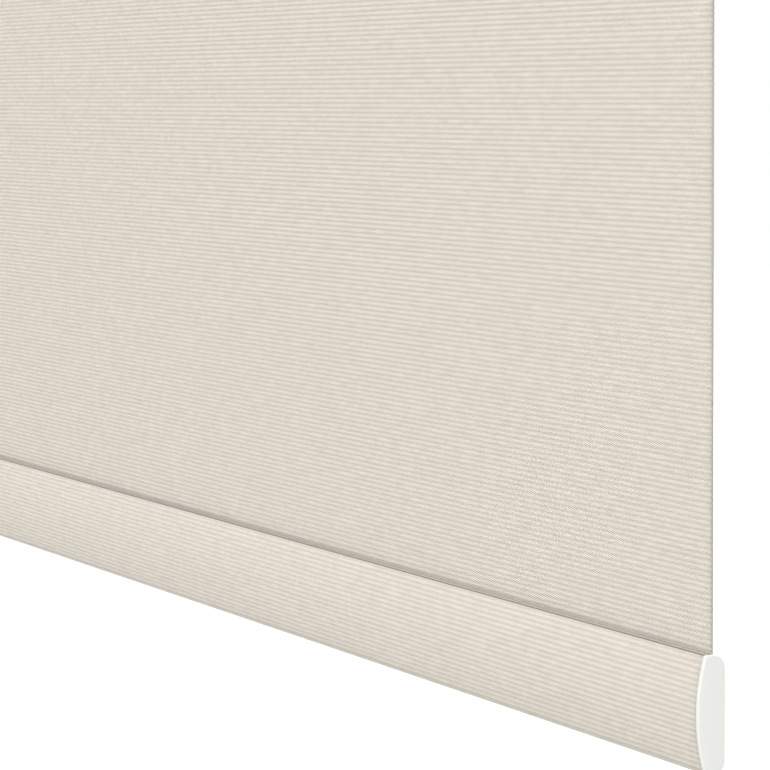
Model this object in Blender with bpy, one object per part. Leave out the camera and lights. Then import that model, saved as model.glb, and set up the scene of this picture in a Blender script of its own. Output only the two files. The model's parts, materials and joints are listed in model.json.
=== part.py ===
"""Cordless spring roller blind, modelled as its separate pieces.

Metres. +X runs along the roller, +Y goes back into the wall, +Z is up. The origin is on
the wall plane, midway between the brackets and level with the roller's axis. The blind is
drawn fully lowered. The fabric comes off the back of the roll, so the bar rises as the
roller turns about +X.
"""
import math

import bmesh
import bpy
from mathutils import Vector

# ---------------------------------------------------------------- driving dimensions
FABRIC_WIDTH = 0.660
FABRIC_DROP = 0.860            # roller axis down to the top of the bottom bar
FABRIC_THICKNESS = 0.0006
SPARE_TURNS = 2.5              # turns still on the roller when the blind is down
RAISED_GAP = 0.030             # roller axis down to the bar's top when the blind is up

FIT_GAP = 0.0003               # between pieces that touch
SLOT_CLEARANCE = 0.0004        # each side of the fabric in the bar's slot

TUBE_RADIUS = 0.016
TUBE_WALL = 0.001
TUBE_OVERHANG = 0.002          # tube past the fabric's edge
GROOVE_WIDTH = 0.0044
GROOVE_DEPTH = 0.0026

BAR_HEIGHT = 0.036
BAR_DEPTH = 0.0093
BAR_TOP_DEPTH = 0.0066         # front edge to back at the top, behind the bowed front
BAR_FRONT_FILLET = 0.0007
BAR_BACK_RADIUS = 0.004
BAR_WALL = 0.0009
SLOT_PAST_CORNER = 0.0004      # slot's middle behind the start of the back corner
CAP_PROUD = 0.0002             # end cap stands past the wrapped bar
CAP_FLANGE = 0.0013
CAP_PLUG_LENGTH = 0.014
CAP_PLUG_TOP = 0.004           # plug's top, above the bar's mid height
HEM_ROD_RADIUS = 0.0013

PLUG_LENGTH = 0.014
PLUG_FLANGE = 0.0017
PLUG_LIP = 0.0009              # flange past the tube's outside
CUP_DEPTH = 0.0062
CUP_WALL = 0.0014
SPINDLE_RADIUS = 0.003
SPADE_WIDTH = 0.008
SPADE_THICKNESS = 0.003
SPADE_CLEARANCE = 0.0003       # above and below the spade in its slot
BUSH_WALL = 0.0017
RATCHET_RADIUS = 0.0056
RATCHET_THICKNESS = 0.003
RATCHET_SETBACK = 0.0014       # cup floor to the ratchet
NOTCH_DEPTH = 0.0014
NOTCH_RAMP = 40.0              # degrees of rim that each notch ramps over
PAWL_EYE_RADIUS = 0.0022
PAWL_NOSE_RADIUS = 0.0011
PAWL_NOSE_PAST = 0.0015        # nose past the top of the ratchet
PAWL_PIN_RADIUS = 0.0009
PAWL_RIM_SPACE = 0.0014        # pawl eye to the cup's wall

SPRING_LENGTH = 0.115
SPRING_WIRE = 0.0016
SPRING_COIL_RADIUS = 0.007
SPRING_TURNS = 27
ANCHOR_LENGTH = 0.018

PIN_RADIUS = 0.003
PIN_SHOULDER = 0.0022          # shoulder past the pin's side
PIN_SHOULDER_LENGTH = 0.0025
PIN_TRAVEL = 0.006
PIN_PAST_PLATE = 0.0015        # pin's tip past the bracket's outer face
PIN_SPRING_WIRE = 0.0008
PIN_SPRING_LENGTH = 0.016
PIN_SPRING_TURNS = 6
IDLE_COLLAR = 0.004            # collar outside the idle plug's flange

SIDE_SPACE = 0.0185            # fabric's edge to the bracket's inner face
WALL_CLEARANCE = 0.012         # full roll to the wall
RIM_CLEARANCE = 0.002          # full roll to the bracket's front, top and bottom edges
BRACKET_SHEET = 0.0015
BRACKET_CORNER = 0.008
FLANGE_WIDTH = 0.022
SCREW_SPACING = 0.024
SCREW_RADIUS = 0.002
SCREW_LENGTH = 0.030
SCREW_HEAD_RADIUS = 0.004
SCREW_HEAD_HEIGHT = 0.0022
SCREW_CROWN_RADIUS = 0.0024    # flat middle of the head
SCREW_CROWN_DROP = 0.00066     # crown's height above the head's shoulder
SCREW_SHOULDER_INSET = 0.00032
SCREW_RECESS_DEPTH = 0.0015
SCREW_RECESS_REACH = 0.0022
SCREW_RECESS_HALF = 0.0005     # half the width of the recess's arms
SCREW_HOLE_CLEARANCE = 0.0004
TOP_SLOT_LENGTH = 0.008

COVER_DEPTH = 0.007
COVER_WALL = 0.0014
COVER_MARGIN = 0.0012          # cover past the side plate's edges
COVER_EDGE = 0.0016            # rounding of the cover's outer edge
COVER_BACK_CORNER = 0.004      # cover's corners beside the wall
PEG_RADIUS = 0.002
PEG_INSET = 0.008

KEEPER_SHEET = 0.0012
KEEPER_WIDTH = 0.006
KEEPER_LENGTH = 0.017          # rivet to the tongue's tip
KEEPER_STANDOFF = 0.004        # spade's front edge to the keeper
KEEPER_RIVET_HEIGHT = 0.010    # rivet above the slot
RIVET_RADIUS = 0.0016
RIVET_HEAD = 0.0012
RIVET_HEAD_RADIUS = 0.0027

ROUND_STEPS = 48
SMALL_ROUND_STEPS = 20

# ---------------------------------------------------------------- derived dimensions
TRAVEL = FABRIC_DROP - RAISED_GAP
ROLL_INNER = TUBE_RADIUS + FIT_GAP
ROLL_RADIUS = ROLL_INNER + SPARE_TURNS * FABRIC_THICKNESS
WOUND_RADIUS = math.sqrt(ROLL_RADIUS ** 2 + FABRIC_THICKNESS * TRAVEL / math.pi)
DROP_OFFSET = ROLL_RADIUS + FIT_GAP + FABRIC_THICKNESS / 2

AXIS_Y = -(WOUND_RADIUS + WALL_CLEARANCE)
DROP_Y = AXIS_Y + DROP_OFFSET
BAR_Z = -FABRIC_DROP - BAR_HEIGHT / 2
BAR_BOW_RISE = BAR_DEPTH - BAR_TOP_DEPTH
BAR_FRONT_RADIUS = BAR_HEIGHT ** 2 / (8 * BAR_BOW_RISE) + BAR_BOW_RISE / 2
BAR_SLOT_SETBACK = BAR_DEPTH - BAR_BACK_RADIUS + SLOT_PAST_CORNER
BAR_SLOT_WIDTH = FABRIC_THICKNESS + 2 * SLOT_CLEARANCE

TUBE_END = FABRIC_WIDTH / 2 + TUBE_OVERHANG
FLANGE_X = TUBE_END + FIT_GAP
FLANGE_OUT = FLANGE_X + PLUG_FLANGE
PLUG_RADIUS = TUBE_RADIUS - TUBE_WALL - FIT_GAP
PLUG_BORE = SPINDLE_RADIUS + FIT_GAP
LIP_RADIUS = TUBE_RADIUS + PLUG_LIP
BUSH_RADIUS = PLUG_BORE + BUSH_WALL
CUP_INNER = LIP_RADIUS - CUP_WALL
RATCHET_X = FLANGE_OUT + RATCHET_SETBACK

PLATE_IN = FABRIC_WIDTH / 2 + SIDE_SPACE
PLATE_OUT = PLATE_IN + BRACKET_SHEET
PLATE_FRONT = AXIS_Y - WOUND_RADIUS - RIM_CLEARANCE
PLATE_TOP = WOUND_RADIUS + RIM_CLEARANCE + BRACKET_SHEET
PLATE_BOTTOM = -WOUND_RADIUS - RIM_CLEARANCE

PAWL_EYE_Z = RATCHET_RADIUS + FIT_GAP + PAWL_EYE_RADIUS
PAWL_NOSE_Z = RATCHET_RADIUS + FIT_GAP + PAWL_NOSE_RADIUS
PAWL_ORBIT = CUP_INNER - PAWL_EYE_RADIUS - PAWL_RIM_SPACE
PAWL_EYE_Y = math.sqrt(PAWL_ORBIT ** 2 - PAWL_EYE_Z ** 2)

X_AXIS, Y_AXIS = "X", "Y"


# ---------------------------------------------------------------- scene and materials
def clear_scene():
    for old in list(bpy.data.objects):
        bpy.data.objects.remove(old, do_unlink=True)


def make_material(name, colour, roughness, metallic=0.0):
    material = bpy.data.materials.new(name)
    material.use_nodes = True
    shader = material.node_tree.nodes["Principled BSDF"]
    shader.inputs["Base Color"].default_value = (*colour, 1.0)
    shader.inputs["Roughness"].default_value = roughness
    shader.inputs["Metallic"].default_value = metallic
    material.diffuse_color = (*colour, 1.0)
    return material


def make_materials():
    return {
        "fabric": make_material("ribbed_fabric", (0.71, 0.66, 0.58), 0.85),
        "cap": make_material("cap_plastic", (0.81, 0.83, 0.80), 0.40),
        "cover": make_material("cover_plastic", (0.84, 0.84, 0.81), 0.40),
        "nylon": make_material("nylon", (0.80, 0.78, 0.70), 0.50),
        "grey_plastic": make_material("grey_plastic", (0.25, 0.26, 0.27), 0.50),
        "aluminium": make_material("aluminium", (0.75, 0.76, 0.77), 0.35, 1.0),
        "zinc": make_material("zinc_plate", (0.62, 0.63, 0.64), 0.35, 1.0),
        "spring": make_material("spring_steel", (0.33, 0.33, 0.35), 0.35, 1.0),
        "painted": make_material("white_paint", (0.83, 0.83, 0.80), 0.45),
    }


def add_empty(name, location):
    empty = bpy.data.objects.new(name, None)
    empty.location = location
    bpy.context.collection.objects.link(empty)
    return empty


def add_object(name, shape, material, parent=None, location=(0.0, 0.0, 0.0), turn_x=0.0):
    """Link a bmesh as a named object, faces out, with round faces shaded smooth."""
    bmesh.ops.recalc_face_normals(shape, faces=shape.faces)
    mesh = bpy.data.meshes.new(name)
    shape.to_mesh(mesh)
    shape.free()
    mesh.shade_smooth()
    mesh.set_sharp_from_angle(angle=math.radians(35))
    if material is not None:
        mesh.materials.append(material)
    item = bpy.data.objects.new(name, mesh)
    item.parent = parent
    item.location = location
    item.rotation_euler = (turn_x, 0.0, 0.0)
    bpy.context.collection.objects.link(item)
    return item


def apply_boolean(target, shape, operation):
    """Union or subtract a bmesh drawn in the target's own coordinates."""
    helper = add_object(target.name + "_" + operation.lower(), shape, None, target.parent)
    helper.location = target.location
    helper.rotation_euler = target.rotation_euler
    helper.hide_render = True
    helper.display_type = "WIRE"
    modifier = target.modifiers.new(operation.title(), "BOOLEAN")
    modifier.operation = operation
    modifier.object = helper
    modifier.solver = "EXACT"


# ---------------------------------------------------------------- outlines and solids
def arc(centre, radius, start, end, steps):
    """Points on an arc, angles in degrees, both ends included."""
    points = []
    for step in range(steps + 1):
        angle = math.radians(start + (end - start) * step / steps)
        points.append((centre[0] + radius * math.cos(angle),
                       centre[1] + radius * math.sin(angle)))
    return points


def polar(radius, angle):
    """One point at a radius and an angle in degrees."""
    return radius * math.cos(math.radians(angle)), radius * math.sin(math.radians(angle))


def circle(radius, steps, centre=(0.0, 0.0)):
    return arc(centre, radius, 0.0, 360.0, steps)[:-1]


def rounded_rectangle(low, high, radii, steps=6):
    """Rectangle with one radius per corner: low-low, high-low, high-high, low-high."""
    corners = [(low[0], low[1]), (high[0], low[1]), (high[0], high[1]), (low[0], high[1])]
    inward = [(1, 1), (-1, 1), (-1, -1), (1, -1)]
    points = []
    for index, (corner, sign, radius) in enumerate(zip(corners, inward, radii)):
        if radius <= 0.0:
            points.append(corner)
            continue
        centre = (corner[0] + sign[0] * radius, corner[1] + sign[1] * radius)
        start = 180.0 + 90.0 * index
        points.extend(arc(centre, radius, start, start + 90.0, steps))
    return points


def prism(outline, start, end, axis=X_AXIS):
    """Extrude a closed outline: (y, z) along X, or (x, z) along Y."""
    shape = bmesh.new()
    if axis == X_AXIS:
        loop = [shape.verts.new((start, a, b)) for a, b in outline]
        step = Vector((end - start, 0.0, 0.0))
    else:
        loop = [shape.verts.new((a, start, b)) for a, b in outline]
        step = Vector((0.0, end - start, 0.0))
    face = shape.faces.new(loop)
    copy = bmesh.ops.extrude_face_region(shape, geom=[face], use_keep_orig=True)
    moved = [item for item in copy["geom"] if isinstance(item, bmesh.types.BMVert)]
    bmesh.ops.translate(shape, verts=moved, vec=step)
    return shape


def strip(outer, inner, start, end, closed):
    """Extrude along X the band between two (y, z) lines of equal point count."""
    shape = bmesh.new()
    rings = []
    for x in (start, end):
        rings.append([shape.verts.new((x, y, z)) for y, z in outer])
        rings.append([shape.verts.new((x, y, z)) for y, z in inner])
    outer_a, inner_a, outer_b, inner_b = rings
    count = len(outer)
    for i in range(count if closed else count - 1):
        j = (i + 1) % count
        shape.faces.new((outer_a[i], outer_a[j], outer_b[j], outer_b[i]))
        shape.faces.new((inner_a[j], inner_a[i], inner_b[i], inner_b[j]))
        shape.faces.new((outer_a[j], outer_a[i], inner_a[i], inner_a[j]))
        shape.faces.new((outer_b[i], outer_b[j], inner_b[j], inner_b[i]))
    if not closed:
        for i in (0, count - 1):
            shape.faces.new((outer_a[i], outer_b[i], inner_b[i], inner_a[i]))
    return shape


def turned(profile, steps, axis=X_AXIS, centre=(0.0, 0.0)):
    """Turn a closed (along, radius) profile about a line parallel to X or Y.

    centre is the line's (y, z), or its (x, z) for a line along Y. A point of radius
    zero becomes one shared vertex.
    """
    shape = bmesh.new()
    rings = []
    for along, radius in profile:
        ring = []
        for a, b in ([(0.0, 0.0)] if radius == 0.0 else circle(radius, steps)):
            across, up = centre[0] + a, centre[1] + b
            place = (along, across, up) if axis == X_AXIS else (across, along, up)
            ring.append(shape.verts.new(place))
        rings.append(ring)
    for first, second in zip(rings, rings[1:] + rings[:1]):
        for i in range(steps):
            j = (i + 1) % steps
            corners = [first[i % len(first)], first[j % len(first)],
                       second[j % len(second)], second[i % len(second)]]
            corners = list(dict.fromkeys(corners))
            if len(corners) > 2:
                shape.faces.new(corners)
    return shape


def rod(start, end, radius, steps=SMALL_ROUND_STEPS, axis=X_AXIS, centre=(0.0, 0.0)):
    return turned([(start, 0.0), (start, radius), (end, radius), (end, 0.0)],
                  steps, axis, centre)


def coil(start, end, radius, wire, turns, steps_per_turn, sides):
    """Helical wire about the X axis, its ends capped."""
    shape = bmesh.new()
    total = turns * steps_per_turn
    slope = (end - start) / (2 * math.pi * radius * turns)
    rings = []
    for step in range(total + 1):
        angle = 2 * math.pi * step / steps_per_turn
        middle = Vector((start + (end - start) * step / total,
                         radius * math.cos(angle), radius * math.sin(angle)))
        outward = Vector((0.0, math.cos(angle), math.sin(angle)))
        along = Vector((slope, -math.sin(angle), math.cos(angle))).normalized()
        binormal = along.cross(outward)
        ring = []
        for side in range(sides):
            turn = 2 * math.pi * side / sides
            offset = outward * math.cos(turn) + binormal * math.sin(turn)
            ring.append(shape.verts.new(middle + offset * wire / 2))
        rings.append(ring)
    for first, second in zip(rings, rings[1:]):
        for i in range(sides):
            j = (i + 1) % sides
            shape.faces.new((first[i], first[j], second[j], second[i]))
    shape.faces.new(rings[0])
    shape.faces.new(rings[-1])
    return shape


def mirrored(profile, side):
    """Swap a profile drawn for the right end (+X) to the side asked for."""
    return [(side * along, radius) for along, radius in profile]


# ---------------------------------------------------------------- bottom bar
def bar_corners(inset):
    """Front fillet centre and radius for a bar outline drawn `inset` inside the cap's."""
    fillet = max(BAR_FRONT_FILLET - inset, 0.0002)
    top = BAR_HEIGHT / 2 - inset
    bow = BAR_FRONT_RADIUS - inset
    centre_z = top - fillet
    centre_d = BAR_FRONT_RADIUS - math.sqrt((bow - fillet) ** 2 - centre_z ** 2)
    return fillet, centre_d, centre_z, bow


def bar_outline(inset, slot_width=0.0, bow_steps=12, corner_steps=6):
    """The bar's section as (y, z) about the slot's middle and the bar's mid height.

    It runs from the slot's back edge over the back, the bottom and the bowed front to
    the slot's front edge. With no slot width the outline is a closed loop.
    """
    fillet, fillet_d, fillet_z, bow = bar_corners(inset)
    back_radius = BAR_BACK_RADIUS - inset
    back_d = BAR_DEPTH - BAR_BACK_RADIUS
    back_z = BAR_HEIGHT / 2 - BAR_BACK_RADIUS
    lean = math.degrees(math.atan2(fillet_z, BAR_FRONT_RADIUS - fillet_d))
    slot_back = BAR_SLOT_SETBACK + slot_width / 2
    start = 90.0
    if slot_width > 0.0 and slot_back > back_d:
        start = math.degrees(math.acos((slot_back - back_d) / back_radius))
    points = arc((back_d, back_z), back_radius, start, 0.0, corner_steps)
    points += arc((back_d, -back_z), back_radius, 0.0, -90.0, corner_steps)
    points += arc((fillet_d, -fillet_z), fillet, -90.0, -180.0 + lean, 3)
    points += arc((BAR_FRONT_RADIUS, 0.0), bow, 180.0 + lean, 180.0 - lean, bow_steps)[1:-1]
    points += arc((fillet_d, fillet_z), fillet, 180.0 - lean, 90.0, 3)
    if slot_width > 0.0:
        points.append((BAR_SLOT_SETBACK - slot_width / 2, BAR_HEIGHT / 2 - inset))
    return [(d - BAR_SLOT_SETBACK, z) for d, z in points]


def build_bottom_bar(parent, materials):
    half = FABRIC_WIDTH / 2
    wrap_inset = CAP_PROUD
    rail_inset = wrap_inset + FABRIC_THICKNESS + FIT_GAP
    cavity_inset = rail_inset + BAR_WALL
    slot = BAR_SLOT_WIDTH

    wrap = strip(bar_outline(wrap_inset, slot), bar_outline(wrap_inset + FABRIC_THICKNESS, slot),
                 -half, half, closed=False)
    add_object("rail_wrap", wrap, materials["fabric"], parent)
    rail = strip(bar_outline(rail_inset, slot), bar_outline(cavity_inset, slot),
                 -half, half, closed=False)
    add_object("bottom_rail", rail, materials["aluminium"], parent)

    rod_top = BAR_HEIGHT / 2 - cavity_inset - FABRIC_THICKNESS
    rod_z = rod_top - HEM_ROD_RADIUS
    rod_y = bow_y(rod_z, cavity_inset) + FIT_GAP + HEM_ROD_RADIUS
    hem_rod = rod(-half + FIT_GAP, half - FIT_GAP, HEM_ROD_RADIUS, 12, centre=(rod_y, rod_z))
    add_object("hem_rod", hem_rod, materials["nylon"], parent)

    plug_inset = cavity_inset + FIT_GAP
    plug_back = BAR_DEPTH - plug_inset - BAR_SLOT_SETBACK
    below_top = [point for point in bar_outline(plug_inset) if point[1] < CAP_PLUG_TOP]
    outline = [(plug_back, CAP_PLUG_TOP), *below_top, (bow_y(CAP_PLUG_TOP, plug_inset), CAP_PLUG_TOP)]
    for name, side in (("rail_end_cap_left", -1), ("rail_end_cap_right", 1)):
        inner = half + FIT_GAP
        flange = prism(bar_outline(0.0), side * inner, side * (inner + CAP_FLANGE))
        cap = add_object(name, flange, materials["cap"], parent)
        overlap = CAP_FLANGE / 2
        plug = prism(outline, side * (inner + overlap), side * (half - CAP_PLUG_LENGTH))
        apply_boolean(cap, plug, "UNION")


def bow_y(z, inset):
    """Where the inset bowed front stands at a height, measured from the slot's middle."""
    bow = BAR_FRONT_RADIUS - inset
    return BAR_FRONT_RADIUS - math.sqrt(bow ** 2 - z ** 2) - BAR_SLOT_SETBACK


# ---------------------------------------------------------------- roller
def grooved_outline(radius, groove_half, groove_radius, steps=ROUND_STEPS):
    """Circle with a flat-bottomed groove at the top, running from its one edge round."""
    edge = math.degrees(math.asin(groove_half / radius))
    points = arc((0.0, 0.0), radius, 90.0 + edge, 450.0 - edge, steps)
    points.append((groove_half, groove_radius))
    points.append((-groove_half, groove_radius))
    return points


def plug_cut():
    """Clearance for the tube's groove along the outside of a plug."""
    half = GROOVE_WIDTH / 2 + TUBE_WALL + FIT_GAP
    floor = TUBE_RADIUS - GROOVE_DEPTH - TUBE_WALL - FIT_GAP
    return half, floor


def build_roller(parent, materials):
    half = FABRIC_WIDTH / 2
    groove_half = GROOVE_WIDTH / 2
    floor = TUBE_RADIUS - GROOVE_DEPTH
    tube = strip(grooved_outline(TUBE_RADIUS, groove_half, floor),
                 grooved_outline(TUBE_RADIUS - TUBE_WALL, groove_half + TUBE_WALL,
                                 floor - TUBE_WALL),
                 -TUBE_END, TUBE_END, closed=True)
    add_object("roller_tube", tube, materials["aluminium"], parent)

    spline_half = groove_half - FIT_GAP
    spline = prism(rounded_rectangle((-spline_half, floor + FIT_GAP),
                                     (spline_half, TUBE_RADIUS - FIT_GAP),
                                     (0.0, 0.0, spline_half / 2, spline_half / 2), 3),
                   -half, half)
    add_object("tube_spline", spline, materials["nylon"], parent)

    roll = strip(circle(ROLL_RADIUS, ROUND_STEPS), circle(ROLL_INNER, ROUND_STEPS),
                 -half, half, closed=True)
    add_object("fabric_roll", roll, materials["fabric"], parent)


def notch_plug(plug, start, end):
    half, floor = plug_cut()
    cutter = prism([(-half, floor), (half, floor), (half, TUBE_RADIUS), (-half, TUBE_RADIUS)],
                   start, end)
    apply_boolean(plug, cutter, "DIFFERENCE")


def build_spring_end(roller_frame, wall_frame, materials):
    """Spring end at the left: rotating cup, pawls and anchor round a fixed spindle."""
    inner = FLANGE_X - FIT_GAP - PLUG_LENGTH
    cup_end = FLANGE_OUT + CUP_DEPTH
    bush_seat = BUSH_RADIUS + FIT_GAP
    profile = [(inner, bush_seat), (cup_end - CUP_DEPTH, bush_seat),
               (cup_end - CUP_DEPTH, CUP_INNER), (cup_end, CUP_INNER),
               (cup_end, LIP_RADIUS), (FLANGE_X, LIP_RADIUS),
               (FLANGE_X, PLUG_RADIUS), (inner, PLUG_RADIUS)]
    cup = add_object("spring_end_cup", turned(mirrored(profile, -1), ROUND_STEPS),
                     materials["zinc"], roller_frame)
    notch_plug(cup, -FLANGE_X, -inner + FIT_GAP)

    bush_out = FLANGE_OUT + RATCHET_SETBACK - FIT_GAP
    bush = [(inner, PLUG_BORE), (bush_out, PLUG_BORE), (bush_out, BUSH_RADIUS),
            (inner, BUSH_RADIUS)]
    add_object("bearing_bush", turned(mirrored(bush, -1), 32), materials["nylon"],
               roller_frame)

    anchor_near = inner - FIT_GAP - SPRING_LENGTH - 2 * FIT_GAP
    anchor_far = anchor_near - ANCHOR_LENGTH
    anchor = [(anchor_near, PLUG_BORE), (anchor_near, PLUG_RADIUS),
              (anchor_far, PLUG_RADIUS), (anchor_far, PLUG_BORE)]
    anchor_plug = add_object("spring_anchor_plug", turned(mirrored(anchor, -1), ROUND_STEPS),
                             materials["grey_plastic"], roller_frame)
    notch_plug(anchor_plug, -anchor_near - FIT_GAP, -anchor_far + FIT_GAP)

    spring_start = inner - FIT_GAP - SPRING_WIRE / 2
    spring_end = spring_start - SPRING_LENGTH + SPRING_WIRE
    spring = coil(-spring_start, -spring_end, SPRING_COIL_RADIUS, SPRING_WIRE,
                  SPRING_TURNS, 10, 5)
    add_object("torsion_spring", spring, materials["spring"], wall_frame)

    build_spindle(wall_frame, anchor_far, materials)
    build_pawls(roller_frame, materials)


def build_spindle(parent, rod_end, materials):
    spade_root = PLATE_IN - KEEPER_SHEET - 2 * FIT_GAP
    spade_tip = PLATE_OUT + PIN_PAST_PLATE
    spindle = add_object("spade_spindle", rod(-spade_root, -rod_end, SPINDLE_RADIUS, 24),
                         materials["zinc"], parent)
    tongue = prism(rounded_rectangle((-SPADE_WIDTH / 2, -SPADE_THICKNESS / 2),
                                     (SPADE_WIDTH / 2, SPADE_THICKNESS / 2), (0, 0, 0, 0)),
                   -spade_tip, -spade_root + SPADE_WIDTH / 2)
    apply_boolean(spindle, tongue, "UNION")

    outer, inner = ratchet_outlines()
    ratchet = strip(outer, inner, -RATCHET_X - RATCHET_THICKNESS, -RATCHET_X, closed=True)
    add_object("ratchet_wheel", ratchet, materials["zinc"], parent)


def ratchet_outlines():
    """Ratchet rim with two opposite notches, and the matching points round its bore.

    Going round with the rising blind, each notch ramps down and ends in a radial face.
    """
    outer, inner = [], []
    for half_turn in (0.0, 180.0):
        face = half_turn + 180.0
        outer += arc((0.0, 0.0), RATCHET_RADIUS, half_turn, face - NOTCH_RAMP, 12)
        outer.append(polar(RATCHET_RADIUS - NOTCH_DEPTH, face))
        inner += arc((0.0, 0.0), PLUG_BORE, half_turn, face - NOTCH_RAMP, 12)
        inner.append(polar(PLUG_BORE, face - NOTCH_RAMP / 3))
    return outer, inner


def pawl_outline():
    """Round eye at the pin and round nose over the ratchet, joined by their tangents."""
    nose_y = -PAWL_NOSE_PAST - PAWL_EYE_Y
    nose_z = PAWL_NOSE_Z - PAWL_EYE_Z
    length = math.hypot(nose_y, nose_z)
    heading = math.degrees(math.atan2(nose_z, nose_y))
    spread = math.degrees(math.acos((PAWL_EYE_RADIUS - PAWL_NOSE_RADIUS) / length))
    points = arc((0.0, 0.0), PAWL_EYE_RADIUS, heading + spread, heading + 360.0 - spread, 14)
    points += arc((nose_y, nose_z), PAWL_NOSE_RADIUS, heading - spread, heading + spread, 8)
    return points


def pawl_swing():
    """Angle in degrees from the ratchet's rim out to the cup's wall."""
    orbit = math.hypot(PAWL_EYE_Y, PAWL_EYE_Z)
    nose = (-PAWL_NOSE_PAST, PAWL_NOSE_Z)
    length = math.hypot(nose[0] - PAWL_EYE_Y, nose[1] - PAWL_EYE_Z)
    angles = []
    for reach in (math.hypot(*nose), CUP_INNER - PAWL_NOSE_RADIUS - FIT_GAP):
        cosine = (orbit ** 2 + length ** 2 - reach ** 2) / (2 * orbit * length)
        angles.append(math.degrees(math.acos(cosine)))
    return angles[1] - angles[0]


def build_pawls(parent, materials):
    """Upper pawl lying just over the ratchet, lower pawl hanging out against the cup."""
    inner_x = -RATCHET_X - RATCHET_THICKNESS + FIT_GAP
    outer_x = -RATCHET_X - FIT_GAP
    swing = math.radians(pawl_swing())
    for name, sign, turn in (("upper", 1, 0.0), ("lower", -1, math.pi - swing)):
        place = (0.0, sign * PAWL_EYE_Y, sign * PAWL_EYE_Z)
        pawl = add_object("pawl_" + name, prism(pawl_outline(), inner_x, outer_x),
                          materials["zinc"], parent, place, turn)
        bore = rod(inner_x - FIT_GAP, outer_x + FIT_GAP, PAWL_PIN_RADIUS + FIT_GAP, 16)
        apply_boolean(pawl, bore, "DIFFERENCE")
        head = inner_x - FIT_GAP
        foot = -FLANGE_OUT - FIT_GAP
        pin = [(foot, 0.0), (foot, PAWL_PIN_RADIUS), (head, PAWL_PIN_RADIUS),
               (head, 2 * PAWL_PIN_RADIUS), (head - PAWL_PIN_RADIUS, 2 * PAWL_PIN_RADIUS),
               (head - PAWL_PIN_RADIUS, 0.0)]
        add_object("pawl_pin_" + name, turned(pin, 16), materials["zinc"], parent, place)


def build_idle_end(parent, materials):
    """Idle end at the right: plug, spring-loaded pin and its spring."""
    bore = PIN_RADIUS + FIT_GAP
    seat = PIN_RADIUS + PIN_SHOULDER + FIT_GAP
    shoulder_front = FLANGE_X - FIT_GAP - PIN_SHOULDER_LENGTH
    shoulder_back = shoulder_front - PIN_SHOULDER_LENGTH
    spring_front = shoulder_back - FIT_GAP
    spring_back = spring_front - PIN_SPRING_LENGTH
    cavity_back = spring_back - PIN_TRAVEL - FIT_GAP
    back = cavity_back - PIN_SHOULDER_LENGTH
    collar = FLANGE_OUT + IDLE_COLLAR
    profile = [(back, 0.0), (back, PLUG_RADIUS), (FLANGE_X, PLUG_RADIUS),
               (FLANGE_X, LIP_RADIUS), (FLANGE_OUT, LIP_RADIUS),
               (FLANGE_OUT, seat + TUBE_WALL), (collar, seat + TUBE_WALL), (collar, bore),
               (shoulder_front + FIT_GAP, bore), (shoulder_front + FIT_GAP, seat),
               (cavity_back, seat), (cavity_back, 0.0)]
    plug = add_object("idle_end_plug", turned(profile, ROUND_STEPS),
                      materials["grey_plastic"], parent)
    notch_plug(plug, back - FIT_GAP, FLANGE_X)

    tip = PLATE_OUT + PIN_PAST_PLATE
    chamfer = PIN_RADIUS / 4
    pin = [(shoulder_back, 0.0), (shoulder_back, PIN_RADIUS + PIN_SHOULDER),
           (shoulder_front, PIN_RADIUS + PIN_SHOULDER), (shoulder_front, PIN_RADIUS),
           (tip - chamfer, PIN_RADIUS), (tip, PIN_RADIUS - chamfer), (tip, 0.0)]
    add_object("idle_pin", turned(pin, 24), materials["zinc"], parent)

    wire = PIN_SPRING_WIRE
    spring = coil(spring_back + wire / 2, spring_front - wire / 2,
                  PIN_RADIUS + PIN_SHOULDER - wire, wire, PIN_SPRING_TURNS, 12, 6)
    add_object("idle_pin_spring", spring, materials["spring"], parent)


# ---------------------------------------------------------------- brackets and covers
def build_bracket(name, side, parent, materials):
    """Side plate with a wall flange and a top flange, both turned in over the roller."""
    plate = prism(rounded_rectangle((PLATE_FRONT, PLATE_BOTTOM), (0.0, PLATE_TOP),
                                    (BRACKET_CORNER, 0.0, 0.0, BRACKET_CORNER)),
                  side * PLATE_IN, side * PLATE_OUT)
    bracket = add_object(name, plate, materials["painted"], parent)
    inner = PLATE_OUT - FLANGE_WIDTH
    seam = (PLATE_IN + PLATE_OUT) / 2
    low, high = sorted((side * inner, side * seam))
    wall = prism([(low, PLATE_BOTTOM), (high, PLATE_BOTTOM), (high, PLATE_TOP),
                  (low, PLATE_TOP)], -BRACKET_SHEET, 0.0, Y_AXIS)
    apply_boolean(bracket, wall, "UNION")
    top = prism([(-BRACKET_SHEET / 2, PLATE_TOP - BRACKET_SHEET), (-BRACKET_SHEET / 2, PLATE_TOP),
                 (PLATE_FRONT + BRACKET_CORNER, PLATE_TOP),
                 (PLATE_FRONT + BRACKET_CORNER, PLATE_TOP - BRACKET_SHEET)],
                side * inner, side * seam)
    apply_boolean(bracket, top, "UNION")

    hole = SCREW_RADIUS + SCREW_HOLE_CLEARANCE
    for height in (SCREW_SPACING / 2, -SCREW_SPACING / 2):
        centre = (side * flange_middle(), height)
        cutter = rod(-2 * BRACKET_SHEET, BRACKET_SHEET, hole, 20, Y_AXIS, centre)
        apply_boolean(bracket, cutter, "DIFFERENCE")
    for y in top_slot_places():
        apply_boolean(bracket, top_slot(side * flange_middle(), y, hole), "DIFFERENCE")
    for y, z in peg_places():
        cutter = rod(side * (PLATE_IN - BRACKET_SHEET), side * (PLATE_OUT + BRACKET_SHEET),
                     PEG_RADIUS + FIT_GAP, 16, centre=(y, z))
        apply_boolean(bracket, cutter, "DIFFERENCE")
    return bracket


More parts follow.
